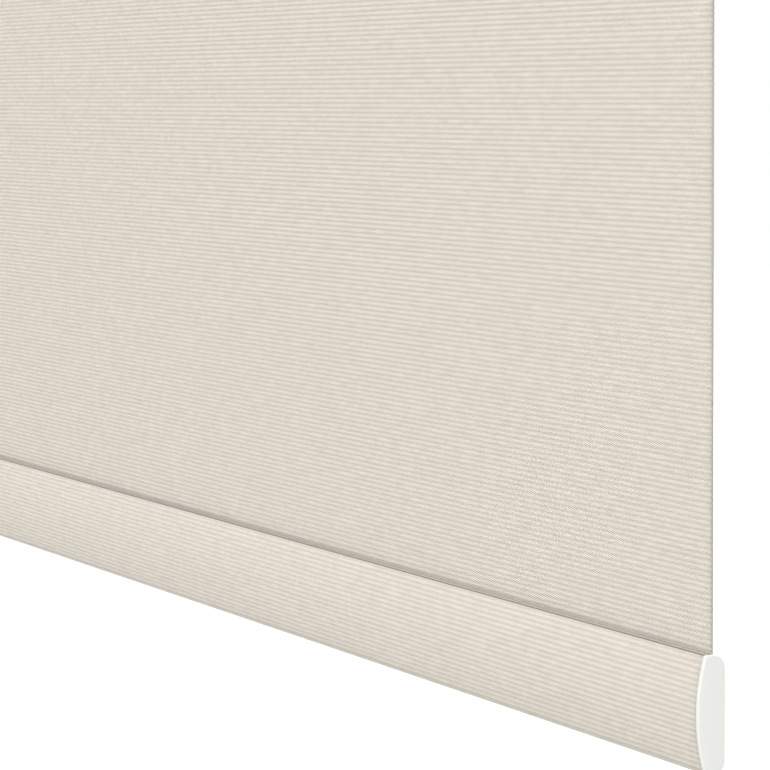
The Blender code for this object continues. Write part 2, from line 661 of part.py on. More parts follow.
def flange_middle():
    """Middle of the wall flange inside the side plate."""
    return (PLATE_IN + PLATE_OUT - FLANGE_WIDTH) / 2


def top_slot_places():
    middle = (PLATE_FRONT + BRACKET_CORNER) / 2
    quarter = (-PLATE_FRONT - BRACKET_CORNER) / 4
    return middle - quarter, middle + quarter


def top_slot(x, y, radius):
    """Cutter for a slotted hole through the top flange, long across the blind."""
    reach = TOP_SLOT_LENGTH / 2 - radius
    outline = arc((x + reach, y), radius, -90.0, 90.0, 8)
    outline += arc((x - reach, y), radius, 90.0, 270.0, 8)
    shape = bmesh.new()
    loop = [shape.verts.new((a, b, PLATE_TOP - 2 * BRACKET_SHEET)) for a, b in outline]
    face = shape.faces.new(loop)
    copy = bmesh.ops.extrude_face_region(shape, geom=[face], use_keep_orig=True)
    moved = [item for item in copy["geom"] if isinstance(item, bmesh.types.BMVert)]
    bmesh.ops.translate(shape, verts=moved, vec=(0.0, 0.0, 3 * BRACKET_SHEET))
    return shape


def peg_places():
    """Two pegs of a cover, as (y, z), near the side plate's lower front and upper back."""
    return ((PLATE_FRONT + PEG_INSET, PLATE_BOTTOM + PEG_INSET),
            (-PEG_INSET, PLATE_TOP - PEG_INSET))


def build_brackets(parent, materials):
    left = build_bracket("bracket_left", -1, parent, materials)
    slot_half = SPADE_THICKNESS / 2 + SPADE_CLEARANCE
    slot_back = AXIS_Y + SPADE_WIDTH / 2 + SPADE_CLEARANCE
    slot = prism([(PLATE_FRONT - BRACKET_SHEET, -slot_half), (slot_back, -slot_half),
                  (slot_back, slot_half), (PLATE_FRONT - BRACKET_SHEET, slot_half)],
                 -PLATE_IN + BRACKET_SHEET, -PLATE_OUT - BRACKET_SHEET)
    apply_boolean(left, slot, "DIFFERENCE")
    rivet_hole = rod(-PLATE_IN + BRACKET_SHEET, -PLATE_OUT - BRACKET_SHEET,
                     RIVET_RADIUS + FIT_GAP, 16, centre=keeper_rivet_place())
    apply_boolean(left, rivet_hole, "DIFFERENCE")

    right = build_bracket("bracket_right", 1, parent, materials)
    pin_hole = rod(PLATE_IN - BRACKET_SHEET, PLATE_OUT + BRACKET_SHEET,
                   PIN_RADIUS + FIT_GAP, 24, centre=(AXIS_Y, 0.0))
    apply_boolean(right, pin_hole, "DIFFERENCE")

    for name, side in (("cover_left", -1), ("cover_right", 1)):
        build_cover(name, side, parent, materials)
    for side_name, side in (("left", -1), ("right", 1)):
        for level, height in (("upper", SCREW_SPACING / 2), ("lower", -SCREW_SPACING / 2)):
            build_screw("screw_" + side_name + "_" + level, side * flange_middle(), height,
                        parent, materials)


def cover_outline(shrink):
    radius = BRACKET_CORNER + COVER_MARGIN - shrink
    back_radius = max(COVER_BACK_CORNER - shrink, COVER_EDGE)
    return rounded_rectangle((PLATE_FRONT - COVER_MARGIN + shrink,
                              PLATE_BOTTOM - COVER_MARGIN + shrink),
                             (-FIT_GAP - shrink, PLATE_TOP + COVER_MARGIN - shrink),
                             (radius, back_radius, back_radius, radius))


def build_cover(name, side, parent, materials):
    """Shallow tray over the side plate's outside, pushed on by two pegs."""
    rim = PLATE_OUT + FIT_GAP
    face = rim + COVER_DEPTH
    shell = prism(cover_outline(0.0), side * rim, side * face)
    outer = [edge for edge in shell.edges
             if all(abs(vert.co.x - side * face) < FIT_GAP for vert in edge.verts)]
    bmesh.ops.bevel(shell, geom=outer, offset=COVER_EDGE, segments=3, profile=0.5,
                    affect="EDGES")
    cover = add_object(name, shell, materials["cover"], parent)
    hollow = prism(cover_outline(COVER_WALL), side * (rim - COVER_WALL),
                   side * (face - COVER_WALL))
    apply_boolean(cover, hollow, "DIFFERENCE")
    for y, z in peg_places():
        peg = rod(side * (PLATE_IN + FIT_GAP), side * (face - COVER_WALL / 2), PEG_RADIUS, 16,
                  centre=(y, z))
        apply_boolean(cover, peg, "UNION")


def build_screw(name, x, z, parent, materials):
    """Pan head screw along +Y into the wall, with a pointed tip."""
    seat = -BRACKET_SHEET - FIT_GAP
    tip = seat + SCREW_LENGTH
    crown = seat - SCREW_HEAD_HEIGHT
    profile = [(crown, 0.0), (crown, SCREW_CROWN_RADIUS),
               (crown + SCREW_CROWN_DROP, SCREW_HEAD_RADIUS - SCREW_SHOULDER_INSET),
               (seat, SCREW_HEAD_RADIUS), (seat, SCREW_RADIUS),
               (tip - 2 * SCREW_RADIUS, SCREW_RADIUS), (tip, 0.0)]
    screw = add_object(name, turned(profile, 20, Y_AXIS, (x, z)), materials["zinc"], parent)
    blade = SCREW_RECESS_HALF
    reach = SCREW_RECESS_REACH
    cross = [(x - blade, z - reach), (x + blade, z - reach), (x + blade, z - blade),
             (x + reach, z - blade), (x + reach, z + blade), (x + blade, z + blade),
             (x + blade, z + reach), (x - blade, z + reach), (x - blade, z + blade),
             (x - reach, z + blade), (x - reach, z - blade), (x - blade, z - blade)]
    recess = prism(cross, crown - FIT_GAP, crown + SCREW_RECESS_DEPTH, Y_AXIS)
    apply_boolean(screw, recess, "DIFFERENCE")


def keeper_rivet_place():
    """(y, z) of the rivet, in front of the spade and above its slot."""
    return (AXIS_Y - SPADE_WIDTH / 2 - KEEPER_STANDOFF - KEEPER_WIDTH / 2,
            KEEPER_RIVET_HEIGHT)


def build_keeper(parent, materials):
    """Swinging tongue that shuts the spade's slot, and the rivet it hangs on."""
    y, z = keeper_rivet_place()
    radius = KEEPER_WIDTH / 2
    near = -PLATE_IN + FIT_GAP
    far = near + KEEPER_SHEET
    outline = arc((0.0, 0.0), radius, 0.0, 180.0, 10)
    outline += arc((0.0, -KEEPER_LENGTH + radius), radius, 180.0, 360.0, 10)
    keeper = add_object("spade_keeper", prism(outline, near, far), materials["zinc"],
                        parent, (0.0, y, z))
    bore = rod(near - FIT_GAP, far + FIT_GAP, RIVET_RADIUS + FIT_GAP, 16)
    apply_boolean(keeper, bore, "DIFFERENCE")

    head_in = far + FIT_GAP
    head_out = -PLATE_OUT - FIT_GAP
    rivet = [(head_in + RIVET_HEAD, 0.0), (head_in + RIVET_HEAD, RIVET_RADIUS),
             (head_in, RIVET_HEAD_RADIUS), (head_in, RIVET_RADIUS),
             (head_out, RIVET_RADIUS), (head_out, RIVET_HEAD_RADIUS),
             (head_out - RIVET_HEAD, RIVET_RADIUS), (head_out - RIVET_HEAD, 0.0)]
    add_object("keeper_rivet", turned(rivet, 16), materials["zinc"], parent, (0.0, y, z))


# ---------------------------------------------------------------- hanging fabric
def build_fabric_drop(parent, materials):
    """Flat sheet from the back of the roll down into the bar's slot."""
    rod_top = BAR_HEIGHT / 2 - CAP_PROUD - 2 * FABRIC_THICKNESS - FIT_GAP - BAR_WALL
    low = BAR_Z + rod_top + FIT_GAP
    half_width = FABRIC_WIDTH / 2
    half = FABRIC_THICKNESS / 2
    sheet = prism([(-half_width, low), (half_width, low), (half_width, 0.0),
                   (-half_width, 0.0)], -half, half, Y_AXIS)
    add_object("fabric_drop", sheet, materials["fabric"], parent, (0.0, DROP_Y, 0.0))


def main():
    clear_scene()
    materials = make_materials()
    wall_frame = add_empty("wall_frame", (0.0, 0.0, 0.0))
    spindle_line = add_empty("spindle_line", (0.0, AXIS_Y, 0.0))
    roller_frame = add_empty("roller_frame", (0.0, AXIS_Y, 0.0))
    bar_frame = add_empty("bar_frame", (0.0, DROP_Y, BAR_Z))
    build_brackets(wall_frame, materials)
    build_keeper(wall_frame, materials)
    build_fabric_drop(wall_frame, materials)
    build_roller(roller_frame, materials)
    build_spring_end(roller_frame, spindle_line, materials)
    build_idle_end(roller_frame, materials)
    build_bottom_bar(bar_frame, materials)


main()
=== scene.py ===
"""Looks of a cordless spring roller blind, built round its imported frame.

Metres, in the frame's own axes: +X along the roller, +Y into the wall, +Z up. Each
sub-assembly is a class that holds its sizes and makes its pieces; each finish is a small
frozen dataclass that makes one material.
"""
from __future__ import annotations

import json
import logging
import math
from dataclasses import dataclass
from enum import Enum
from functools import partial

import bmesh
import bpy
import numpy as np
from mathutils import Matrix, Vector


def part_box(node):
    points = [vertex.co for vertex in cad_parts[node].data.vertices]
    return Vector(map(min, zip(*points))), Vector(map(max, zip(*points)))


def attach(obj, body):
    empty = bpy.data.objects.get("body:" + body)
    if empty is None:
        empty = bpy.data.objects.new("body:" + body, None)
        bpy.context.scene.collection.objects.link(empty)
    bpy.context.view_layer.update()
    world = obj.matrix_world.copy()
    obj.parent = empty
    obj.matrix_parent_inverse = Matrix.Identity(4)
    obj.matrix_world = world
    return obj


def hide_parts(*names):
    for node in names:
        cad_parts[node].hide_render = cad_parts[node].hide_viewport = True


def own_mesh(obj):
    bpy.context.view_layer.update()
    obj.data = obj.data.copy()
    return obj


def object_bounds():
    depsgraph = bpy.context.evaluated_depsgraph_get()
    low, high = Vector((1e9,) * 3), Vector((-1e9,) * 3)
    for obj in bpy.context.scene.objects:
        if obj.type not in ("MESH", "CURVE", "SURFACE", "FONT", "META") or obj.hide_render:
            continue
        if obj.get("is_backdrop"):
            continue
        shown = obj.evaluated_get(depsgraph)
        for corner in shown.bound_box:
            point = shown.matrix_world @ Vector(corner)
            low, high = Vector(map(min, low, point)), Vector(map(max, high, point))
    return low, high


log = logging.getLogger("roller_blind")

Array = np.ndarray
Object = bpy.types.Object
Material = bpy.types.Material
NodeTree = bpy.types.NodeTree
Colour = tuple[float, float, float]
Triple = tuple[float, float, float]
Pair = tuple[float, float]
Socket = bpy.types.NodeSocket

MM = 0.001
WHITE = (1.0, 1.0, 1.0, 1.0)
FLAT_WITHIN = 1.0                      # degrees between faces that are one flat face
SHARP_FROM = 35.0                      # degrees from which a made edge is sharp
EASED_FROM = 40.0                      # degrees from which a copied edge is eased

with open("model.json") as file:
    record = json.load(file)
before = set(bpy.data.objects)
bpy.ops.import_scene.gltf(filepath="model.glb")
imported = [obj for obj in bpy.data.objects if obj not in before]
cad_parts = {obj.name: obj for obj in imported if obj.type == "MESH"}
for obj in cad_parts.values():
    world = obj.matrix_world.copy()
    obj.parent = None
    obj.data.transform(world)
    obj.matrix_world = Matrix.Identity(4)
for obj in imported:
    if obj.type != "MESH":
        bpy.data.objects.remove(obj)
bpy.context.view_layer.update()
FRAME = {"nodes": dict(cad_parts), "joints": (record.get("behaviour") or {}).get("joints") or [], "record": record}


class Body(str, Enum):
    """The moving bodies of the frame."""

    WALL_SET = "wall_set"
    ROLLER = "roller"
    BOTTOM_BAR = "bottom_bar"
    PAWL_UPPER = "pawl_upper"
    PAWL_LOWER = "pawl_lower"
    IDLE_PIN = "idle_pin"
    KEEPER = "keeper"


class Slot(str, Enum):
    """The record's material slots."""

    FABRIC = "fabric"
    CAP = "cap_plastic"
    COVER = "cover_plastic"
    NYLON = "nylon"
    GREY = "grey_plastic"
    ALUMINIUM = "aluminium"
    ZINC = "zinc_plate"
    SPRING = "spring_steel"
    PAINT = "white_paint"


class Side(Enum):
    """Ends of the blind, by the sign of X."""

    LEFT = -1
    RIGHT = 1


# ------------------------------------------------------------------ places in the frame
@dataclass(frozen=True)
class Span:
    """A node's box at rest."""

    low: Array
    high: Array

    @classmethod
    def of(cls, node: str) -> Span:
        """Read a node's box from the frame.

        Args:
            node: the CAD node's name.
        Returns:
            its lowest and highest corners.
        """
        low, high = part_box(node)
        return cls(np.array(low, float), np.array(high, float))

    @property
    def middle(self) -> Array:
        """Centre of the box."""
        return (self.low + self.high) / 2

    @property
    def size(self) -> Array:
        """Side lengths of the box."""
        return self.high - self.low


# ------------------------------------------------------------------ lines and surfaces
def arc_points(centre: Pair, radius: float, start: float, end: float,
               steps: int) -> Array:
    """Points on a circle arc: centre plus radius times (cos, sin) of the angle.

    Args:
        centre: the circle's middle.
        radius: its radius.
        start: first angle in degrees.
        end: last angle in degrees.
        steps: number of steps between them.
    Returns:
        an array of steps + 1 points.
    """
    angle = np.radians(np.linspace(start, end, steps + 1))
    return np.stack([centre[0] + radius * np.cos(angle),
                     centre[1] + radius * np.sin(angle)], axis=1)


def resample(line: Array, step: float) -> tuple[Array, Array]:
    """Even points along an open line, by linear steps of its running length.

    Args:
        line: (n, 2) points.
        step: wanted spacing.
    Returns:
        the new points and the running length at each.
    """
    length = np.concatenate([[0.0], np.cumsum(np.linalg.norm(np.diff(line, axis=0), axis=1))])
    count = max(2, int(round(length[-1] / step)) + 1)
    even = np.linspace(0.0, length[-1], count)
    points = np.stack([np.interp(even, length, line[:, k]) for k in (0, 1)], axis=1)
    return points, even


def line_normals(line: Array) -> Array:
    """Unit normals of an open line: its tangent (a, b) turned to (b, -a)."""
    tangent = np.gradient(line, axis=0)
    tangent /= np.linalg.norm(tangent, axis=1, keepdims=True)
    return np.stack([tangent[:, 1], -tangent[:, 0]], axis=1)


def filleted(corners: Array, radii: float | list[float], steps: int = 6) -> Array:
    """A closed polygon with round corners.

    Each corner becomes an arc that touches both of its sides: its centre lies on the
    corner's bisector, at radius / sin(half angle).

    Args:
        corners: (n, 2) corners in order.
        radii: one radius for all corners, or one for each.
        steps: steps in each arc.
    Returns:
        the rounded outline.
    """
    count = len(corners)
    radii = [radii] * count if isinstance(radii, (int, float)) else radii
    pieces = []
    for index, radius in enumerate(radii):
        here = corners[index]
        back = corners[index - 1] - here
        on = corners[(index + 1) % count] - here
        back, on = back / np.linalg.norm(back), on / np.linalg.norm(on)
        half = math.acos(float(np.clip(back @ on, -1.0, 1.0))) / 2
        if radius <= 0.0:
            pieces.append(here[None, :])
            continue
        bisector = (back + on) / np.linalg.norm(back + on)
        centre = here + bisector * radius / math.sin(half)
        first = here + back * radius / math.tan(half) - centre
        last = here + on * radius / math.tan(half) - centre
        start = math.atan2(first[1], first[0])
        turn = math.atan2(first[0] * last[1] - first[1] * last[0], float(first @ last))
        angle = start + turn * np.linspace(0.0, 1.0, steps + 1)
        pieces.append(centre + radius * np.stack([np.cos(angle), np.sin(angle)], axis=1))
    return np.concatenate(pieces)


def grid_faces(rows: int, columns: int, wrap_rows: bool = False,
               wrap_columns: bool = False) -> Array:
    """Quads of a grid of points numbered row by row.

    Args:
        rows: number of rows.
        columns: number of columns.
        wrap_rows: join the last row to the first.
        wrap_columns: join the last column to the first.
    Returns:
        (n, 4) corner numbers.
    """
    row = np.arange(rows if wrap_rows else rows - 1)
    column = np.arange(columns if wrap_columns else columns - 1)
    r, c = (part.ravel() for part in np.meshgrid(row, column, indexing="ij"))
    r1, c1 = (r + 1) % rows, (c + 1) % columns
    return np.stack([r * columns + c, r * columns + c1, r1 * columns + c1,
                     r1 * columns + c], axis=1)


@dataclass
class Shape:
    """Points and quads on their way to a mesh.

    Cloth also has a surface coordinate and a painted shade value for each point: how much
    shade is painted into its colour where it is shut in beside another piece, from 0 to 1.
    """

    points: Array
    quads: Array
    surface: Array | None = None
    painted_shade: Array | None = None

    def joined(self, other: Shape) -> Shape:
        """Both shapes in one, each with its own points."""
        return Shape(np.concatenate([self.points, other.points]),
                     np.concatenate([self.quads, other.quads + len(self.points)]))


def sheet_between(front: Array, back: Array, surface: Array, painted_shade: Array) -> Shape:
    """A closed thin body: two matching grids of points, joined round their four edges.

    Args:
        front: (rows, columns, 3) points of one side.
        back: the same for the other side.
        surface: (rows, columns, 2) cloth coordinates in metres.
        painted_shade: (rows,) painted shade values.
    Returns:
        the shell.
    """
    rows, columns = front.shape[:2]
    grid = grid_faces(rows, columns)
    numbers = np.arange(rows * columns).reshape(rows, columns)
    rim = np.concatenate([numbers[0, :-1], numbers[:-1, -1], numbers[-1, :0:-1],
                          numbers[:0:-1, 0]])
    after = np.roll(rim, -1)
    shift = rows * columns
    edge = np.stack([rim, rim + shift, after + shift, after], axis=1)
    points = np.concatenate([front.reshape(-1, 3), back.reshape(-1, 3)])
    flat = surface.reshape(-1, 2)
    # painted shade values, one for every point
    shade_paint = np.repeat(painted_shade, columns)
    return Shape(points, np.concatenate([grid, grid[:, ::-1] + shift, edge]),
                 np.concatenate([flat, flat]), np.concatenate([shade_paint, shade_paint]))


def turned(profile: Array, segments: int, centre: Pair) -> Shape:
    """A closed profile turned about a line along X.

    Each point (along, radius) becomes a ring: (along, radius cos, radius sin) about the
    centre.

    Args:
        profile: (n, 2) closed profile.
        segments: points in each ring.
        centre: the line's (y, z).
    Returns:
        the turned shape; rings of radius zero are merged later.
    """
    angle = np.linspace(0.0, 2 * math.pi, segments, endpoint=False)
    along = np.repeat(profile[:, :1], segments, axis=1)
    points = np.stack([along, centre[0] + profile[:, 1:] * np.cos(angle),
                       centre[1] + profile[:, 1:] * np.sin(angle)], axis=2)
    return Shape(points.reshape(-1, 3), grid_faces(len(profile), segments, True, True))


def stacked(outlines: list[Array], heights: Array, sign: float, origin: Array) -> Shape:
    """Outlines of equal point count, laid at their heights and joined in a closed tube.

    A point (a, b) of an outline lands at origin + (sign * height, a, b). The first and
    the last outline close on their own middle.

    Args:
        outlines: (n, 2) outlines in order.
        heights: one height for each.
        sign: 1.0 for heights along +X, -1.0 for -X.
        origin: where (0, 0, 0) lies.
    Returns:
        the closed shape.
    """
    middles = [np.repeat(o.mean(axis=0)[None, :], len(o), axis=0) for o in
               (outlines[0], outlines[-1])]
    rings = [middles[0], *outlines, middles[1]]
    levels = np.concatenate([[heights[0]], heights, [heights[-1]]])
    flat = np.stack(rings)
    along = np.broadcast_to(sign * levels[:, None, None], (*flat.shape[:2], 1))
    points = origin + np.concatenate([along, flat], axis=2)
    return Shape(points.reshape(-1, 3), grid_faces(len(rings), flat.shape[1], False, True))


def helix(start: float, end: float, radius: float, wire: float, turns: float,
          centre: Pair, steps: int = 28, sides: int = 10) -> Shape:
    """Round wire wound about a line along X, with closed flat end turns.

    The wire's middle is radius (cos, sin) of the angle; it moves along X evenly except in
    the first and last turn, where it lies close.

    Args:
        start: where the wire's outside begins along X.
        end: where it ends.
        radius: from the line to the wire's middle.
        wire: wire thickness.
        turns: number of turns.
        centre: the line's (y, z).
        steps: points in each turn.
        sides: points round the wire.
    Returns:
        the closed wire.
    """
    turn = np.linspace(0.0, turns, int(turns * steps) + 1)
    direction = math.copysign(1.0, end - start)
    first, last = start + direction * wire / 2, end - direction * wire / 2
    close = wire / abs(last - first)
    share = np.interp(turn, [0.0, 1.0, turns - 1.0, turns], [0.0, close, 1.0 - close, 1.0])
    along = first + (last - first) * share
    angle = 2 * math.pi * turn
    path = np.stack([along, centre[0] + radius * np.cos(angle),
                     centre[1] + radius * np.sin(angle)], axis=1)
    tangent = np.gradient(path, axis=0)
    tangent /= np.linalg.norm(tangent, axis=1, keepdims=True)
    outward = np.stack([np.zeros_like(angle), np.cos(angle), np.sin(angle)], axis=1)
    across = np.cross(tangent, outward)
    around = np.linspace(0.0, 2 * math.pi, sides, endpoint=False)
    ring = (path[:, None, :] + wire / 2 * (np.cos(around)[None, :, None] * outward[:, None, :]
            + np.sin(around)[None, :, None] * across[:, None, :]))
    ends = np.repeat(path[[0, -1]][:, None, :], sides, axis=1)
    points = np.concatenate([ends[:1], ring, ends[1:]])
    return Shape(points.reshape(-1, 3), grid_faces(len(points), sides, False, True))


# ------------------------------------------------------------------ meshes
def make_piece(name: str, shape: Shape, finishes: Finishes, body: Body, slot: Slot,
               *replaces: str) -> Object:
    """Turn a shape into a finished piece that rides on a body.

    Points in the same place are merged, except in cloth, whose seams are closed already.

    Args:
        name: the piece's name.
        shape: its points and quads.
        finishes: the blind's finishes.
        body: the body that it moves with.
        slot: the record's material slot.
        replaces: CAD nodes that it stands for.
    Returns:
        the new object.
    """
    mesh = bpy.data.meshes.new(name)
    mesh.vertices.add(len(shape.points))
    mesh.vertices.foreach_set("co", shape.points.astype(np.float32).ravel())
    mesh.loops.add(shape.quads.size)
    mesh.loops.foreach_set("vertex_index", shape.quads.astype(np.int32).ravel())
    mesh.polygons.add(len(shape.quads))
    mesh.polygons.foreach_set("loop_start", np.arange(0, shape.quads.size, 4, dtype=np.int32))
    mesh.update(calc_edges=True)
    if shape.surface is not None:
        layer = mesh.uv_layers.new(name="cloth")
        layer.data.foreach_set("uv", shape.surface[shape.quads.ravel()].astype(np.float32).ravel())
        # painted shade: a point attribute that darkens the cloth's colour in its material
        painted_shade = mesh.attributes.new("painted_shade", "FLOAT", "POINT")
        painted_shade.data.foreach_set("value", shape.painted_shade.astype(np.float32))
    work = bmesh.new()
    work.from_mesh(mesh)
    if shape.surface is None:
        bmesh.ops.remove_doubles(work, verts=work.verts, dist=1e-7)
        bmesh.ops.dissolve_degenerate(work, dist=1e-8, edges=work.edges)
        bmesh.ops.delete(work, geom=[edge for edge in work.edges if not edge.link_faces],
                         context="EDGES")
    bmesh.ops.recalc_face_normals(work, faces=work.faces)
    work.to_mesh(mesh)
    work.free()
    return finish_piece(mesh, finishes, body, slot, replaces, SHARP_FROM)


def finish_piece(mesh: bpy.types.Mesh, finishes: Finishes, body: Body, slot: Slot,
                 replaces: tuple[str, ...], sharp: float) -> Object:
    """Shade, dress, link and mount a mesh, with edges sharp from an angle in degrees."""
    mesh.shade_smooth()
    mesh.set_sharp_from_angle(angle=math.radians(sharp))
    mesh.materials.append(finishes[slot])
    piece = bpy.data.objects.new(mesh.name, mesh)
    bpy.context.collection.objects.link(piece)
    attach(piece, body.value)
    if replaces:
        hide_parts(*replaces)
    log.info("%s: %d faces on %s", piece.name, len(mesh.polygons), body.value)
    return piece


# ------------------------------------------------------------------ shared shader groups
def new_group(name: str, inputs: dict[str, float], outputs: list[str]) -> NodeTree:
    """An empty shader group with float inputs and outputs.

    Args:
        name: the group's name.
        inputs: each input's name and usual value.
        outputs: the outputs' names.
    Returns:
        the group, with its two end nodes named in and out.
    """
    group = bpy.data.node_groups.new(name, "ShaderNodeTree")
    for label, value in inputs.items():
        socket = group.interface.new_socket(label, in_out="INPUT", socket_type="NodeSocketFloat")
        socket.default_value = value
    for label in outputs:
        group.interface.new_socket(label, in_out="OUTPUT", socket_type="NodeSocketFloat")
    group.nodes.new("NodeGroupInput").name = "in"
    group.nodes.new("NodeGroupOutput").name = "out"
    return group


def feed(tree: NodeTree, socket: Socket, value: object) -> None:
    """Link a socket into an input, or set the input to a plain value."""
    if isinstance(value, Socket):
        tree.links.new(value, socket)
    else:
        socket.default_value = value


def math_node(tree: NodeTree, operation: str, *values: object) -> Socket:
    """A Math node fed with sockets or plain numbers.

    Args:
        tree: where the node goes.
        operation: the Math node's operation.
        values: its inputs, in order.
    Returns:
        the node's output.
    """
    node = tree.nodes.new("ShaderNodeMath")
    node.operation = operation
    for socket, value in zip(node.inputs, values):
        feed(tree, socket, value)
    return node.outputs[0]


def noise_node(tree: NodeTree, vector: Socket, detail: float = 2.0,
               roughness: float = 0.5) -> Socket:
    """Noise over a vector whose own size sets the scale, from 0 to 1."""
    node = tree.nodes.new("ShaderNodeTexNoise")
    node.inputs["Scale"].default_value = 1.0
    node.inputs["Detail"].default_value = detail
    node.inputs["Roughness"].default_value = roughness
    tree.links.new(vector, node.inputs["Vector"])
    return node.outputs[0]


def vector_of(tree: NodeTree, x: object, y: object, z: object = 0.0) -> Socket:
    """A vector from three sockets or numbers."""
    node = tree.nodes.new("ShaderNodeCombineXYZ")
    for socket, value in zip(node.inputs, (x, y, z)):
        feed(tree, socket, value)
    return node.outputs[0]


@dataclass(frozen=True)
class Weave:
    """How the cloth's threads are laid out, in ribs and threads."""

    slub_per_thread: float = 0.22      # slubs are about five threads long
    slub_per_rib: float = 7.31         # keeps neighbouring ribs' slubs apart
    slant: float = 2.5                 # threads crossed in one rib
    lint_per_thread: float = 1.3
    lint_per_rib: float = 3.1
    lint_layer: float = 3.0            # keeps lint and slubs apart
    # painted shade along the cut edges: how far it reaches and how dark it is
    edge_reach: float = 0.9 * MM
    edge_shade: float = 0.42

    def group(self) -> NodeTree:
        """Ribbed cloth read from the cloth coordinates: u across the blind, v down it.

        Shade is a raised cosine of v over the rib pitch, which paints shade into the rib
        valleys in step with the ribs in the mesh, broken by three things of the yarn's own
        tone: slubs, a noise that runs along each rib and differs from rib to rib; threads, a
        cosine that crosses the ribs at a slant; and lint, a fine noise. Height leaves out the
        rib itself, which is in the mesh. Shadow is painted shade: the painted_shade value, or
        the nearness of a cut edge.
        """
        group = new_group("ribbed_weave", {"Rib Pitch": 1.7 * MM, "Thread Pitch": 0.8 * MM,
                                           "Slub": 0.5, "Thread": 0.3, "Lint": 0.5,
                                           "Half Width": 0.33}, ["Shade", "Height", "Shadow"])
        given, result = group.nodes["in"].outputs, group.nodes["out"].inputs
        calc = partial(math_node, group)
        place = group.nodes.new("ShaderNodeUVMap")
        place.uv_map = "cloth"
        split = group.nodes.new("ShaderNodeSeparateXYZ")
        group.links.new(place.outputs[0], split.inputs[0])
        u, v = split.outputs[0], split.outputs[1]
        ribs = calc("DIVIDE", v, given["Rib Pitch"])
        threads = calc("DIVIDE", u, given["Thread Pitch"])
        # painted shade in the rib valleys, in step with the ribs in the mesh
        rib_valley_shade = calc("MULTIPLY_ADD", calc("COSINE", calc("MULTIPLY", ribs, 2 * math.pi)),
                    0.5, 0.5)

        slub = noise_node(group, vector_of(
            group, calc("MULTIPLY", threads, self.slub_per_thread),
            calc("MULTIPLY", calc("ROUND", ribs), self.slub_per_rib)), 3.0, 0.65)
        slant = calc("ADD", threads, calc("MULTIPLY", ribs, self.slant))
        crossing = calc("COSINE", calc("MULTIPLY", slant, 2 * math.pi))
        lint = noise_node(group, vector_of(
            group, calc("MULTIPLY", threads, self.lint_per_thread),
            calc("MULTIPLY", ribs, self.lint_per_rib), self.lint_layer), 2.0, 0.6)
        slubs = calc("MULTIPLY", calc("SUBTRACT", slub, 0.5), given["Slub"])
        crossings = calc("MULTIPLY", crossing, given["Thread"])
        lints = calc("MULTIPLY", calc("SUBTRACT", lint, 0.5), given["Lint"])
        loose = calc("ADD", calc("ADD", slubs, crossings), lints)
        group.links.new(calc("ADD", rib_valley_shade, loose), result["Shade"])
        group.links.new(loose, result["Height"])

        # Shadow: painted shade from the painted_shade attribute, or from the nearness of a cut edge
        painted_shade = group.nodes.new("ShaderNodeAttribute")
        painted_shade.attribute_name = "painted_shade"
        inside = calc("SUBTRACT", given["Half Width"], calc("ABSOLUTE", u))
        fall = calc("EXPONENT", calc("MULTIPLY", inside, -1.0 / self.edge_reach))
        edge = calc("MULTIPLY", fall, self.edge_shade)
        group.links.new(calc("MAXIMUM", painted_shade.outputs["Fac"], edge), result["Shadow"])
        return group


def grain_group() -> NodeTree:
    """Fine surface grain and wider handling marks over Object coordinates.

    Grain is noise at the given size; Marks is slow noise stretched along one axis.
    """
    group = new_group("surface_grain", {"Grain Size": 0.4 * MM, "Mark Size": 12 * MM,
                                        "Stretch": 1.0}, ["Grain", "Marks"])
    given, result = group.nodes["in"].outputs, group.nodes["out"].inputs
    divide = partial(math_node, group, "DIVIDE")
    place = group.nodes.new("ShaderNodeTexCoord")
    split = group.nodes.new("ShaderNodeSeparateXYZ")
    group.links.new(place.outputs["Object"], split.inputs[0])
    x, y, z = split.outputs
    for label, size in (("Grain", "Grain Size"), ("Marks", "Mark Size")):
        step = given[size]
        vector = vector_of(group, divide(divide(x, step), given["Stretch"]),
                           divide(y, step), divide(z, step))
        group.links.new(noise_node(group, vector, 3.0, 0.55), result[label])
    return group


class Groups:
    """The two shared shader groups, made once."""

    def __init__(self) -> None:
        """Make both groups."""
        self.weave = Weave().group()
        self.grain = grain_group()


def place_group(tree: NodeTree, group: NodeTree, **values: float) -> bpy.types.Node:
    """Put a group in a material and set its inputs, an underscore standing for a space."""
    node = tree.nodes.new("ShaderNodeGroup")
    node.node_tree = group
    for label, value in values.items():
        node.inputs[label.replace("_", " ").title()].default_value = value
    return node


def mix_colours(tree: NodeTree, share: Socket, low: Colour | Socket,
                high: Colour) -> Socket:
    """A colour between two, by a share that is clamped to 0 to 1."""
    node = tree.nodes.new("ShaderNodeMix")
    node.data_type = "RGBA"
    node.clamp_factor = True
    feed(tree, node.inputs[0], share)
    feed(tree, node.inputs[6], low if isinstance(low, Socket) else (*low, 1.0))
    feed(tree, node.inputs[7], (*high, 1.0))
    return node.outputs[2]


def bump_into(tree: NodeTree, shader: bpy.types.Node, height: Socket,
              distance: float, strength: float = 1.0) -> None:
    """Feed a height in units of distance into a shader's normal."""
    node = tree.nodes.new("ShaderNodeBump")
    node.inputs["Distance"].default_value = distance
    node.inputs["Strength"].default_value = strength
    tree.links.new(height, node.inputs["Height"])
    tree.links.new(node.outputs[0], shader.inputs["Normal"])


def new_material(name: str) -> tuple[Material, bpy.types.Node]:
    """A material and its Principled shader."""
    material = bpy.data.materials.new(name)
    material.use_nodes = True
    return material, material.node_tree.nodes["Principled BSDF"]


def set_inputs(node: bpy.types.Node, values: dict[str, object]) -> None:
    """Set a node's inputs by their names."""
    for label, value in values.items():
        node.inputs[label].default_value = value


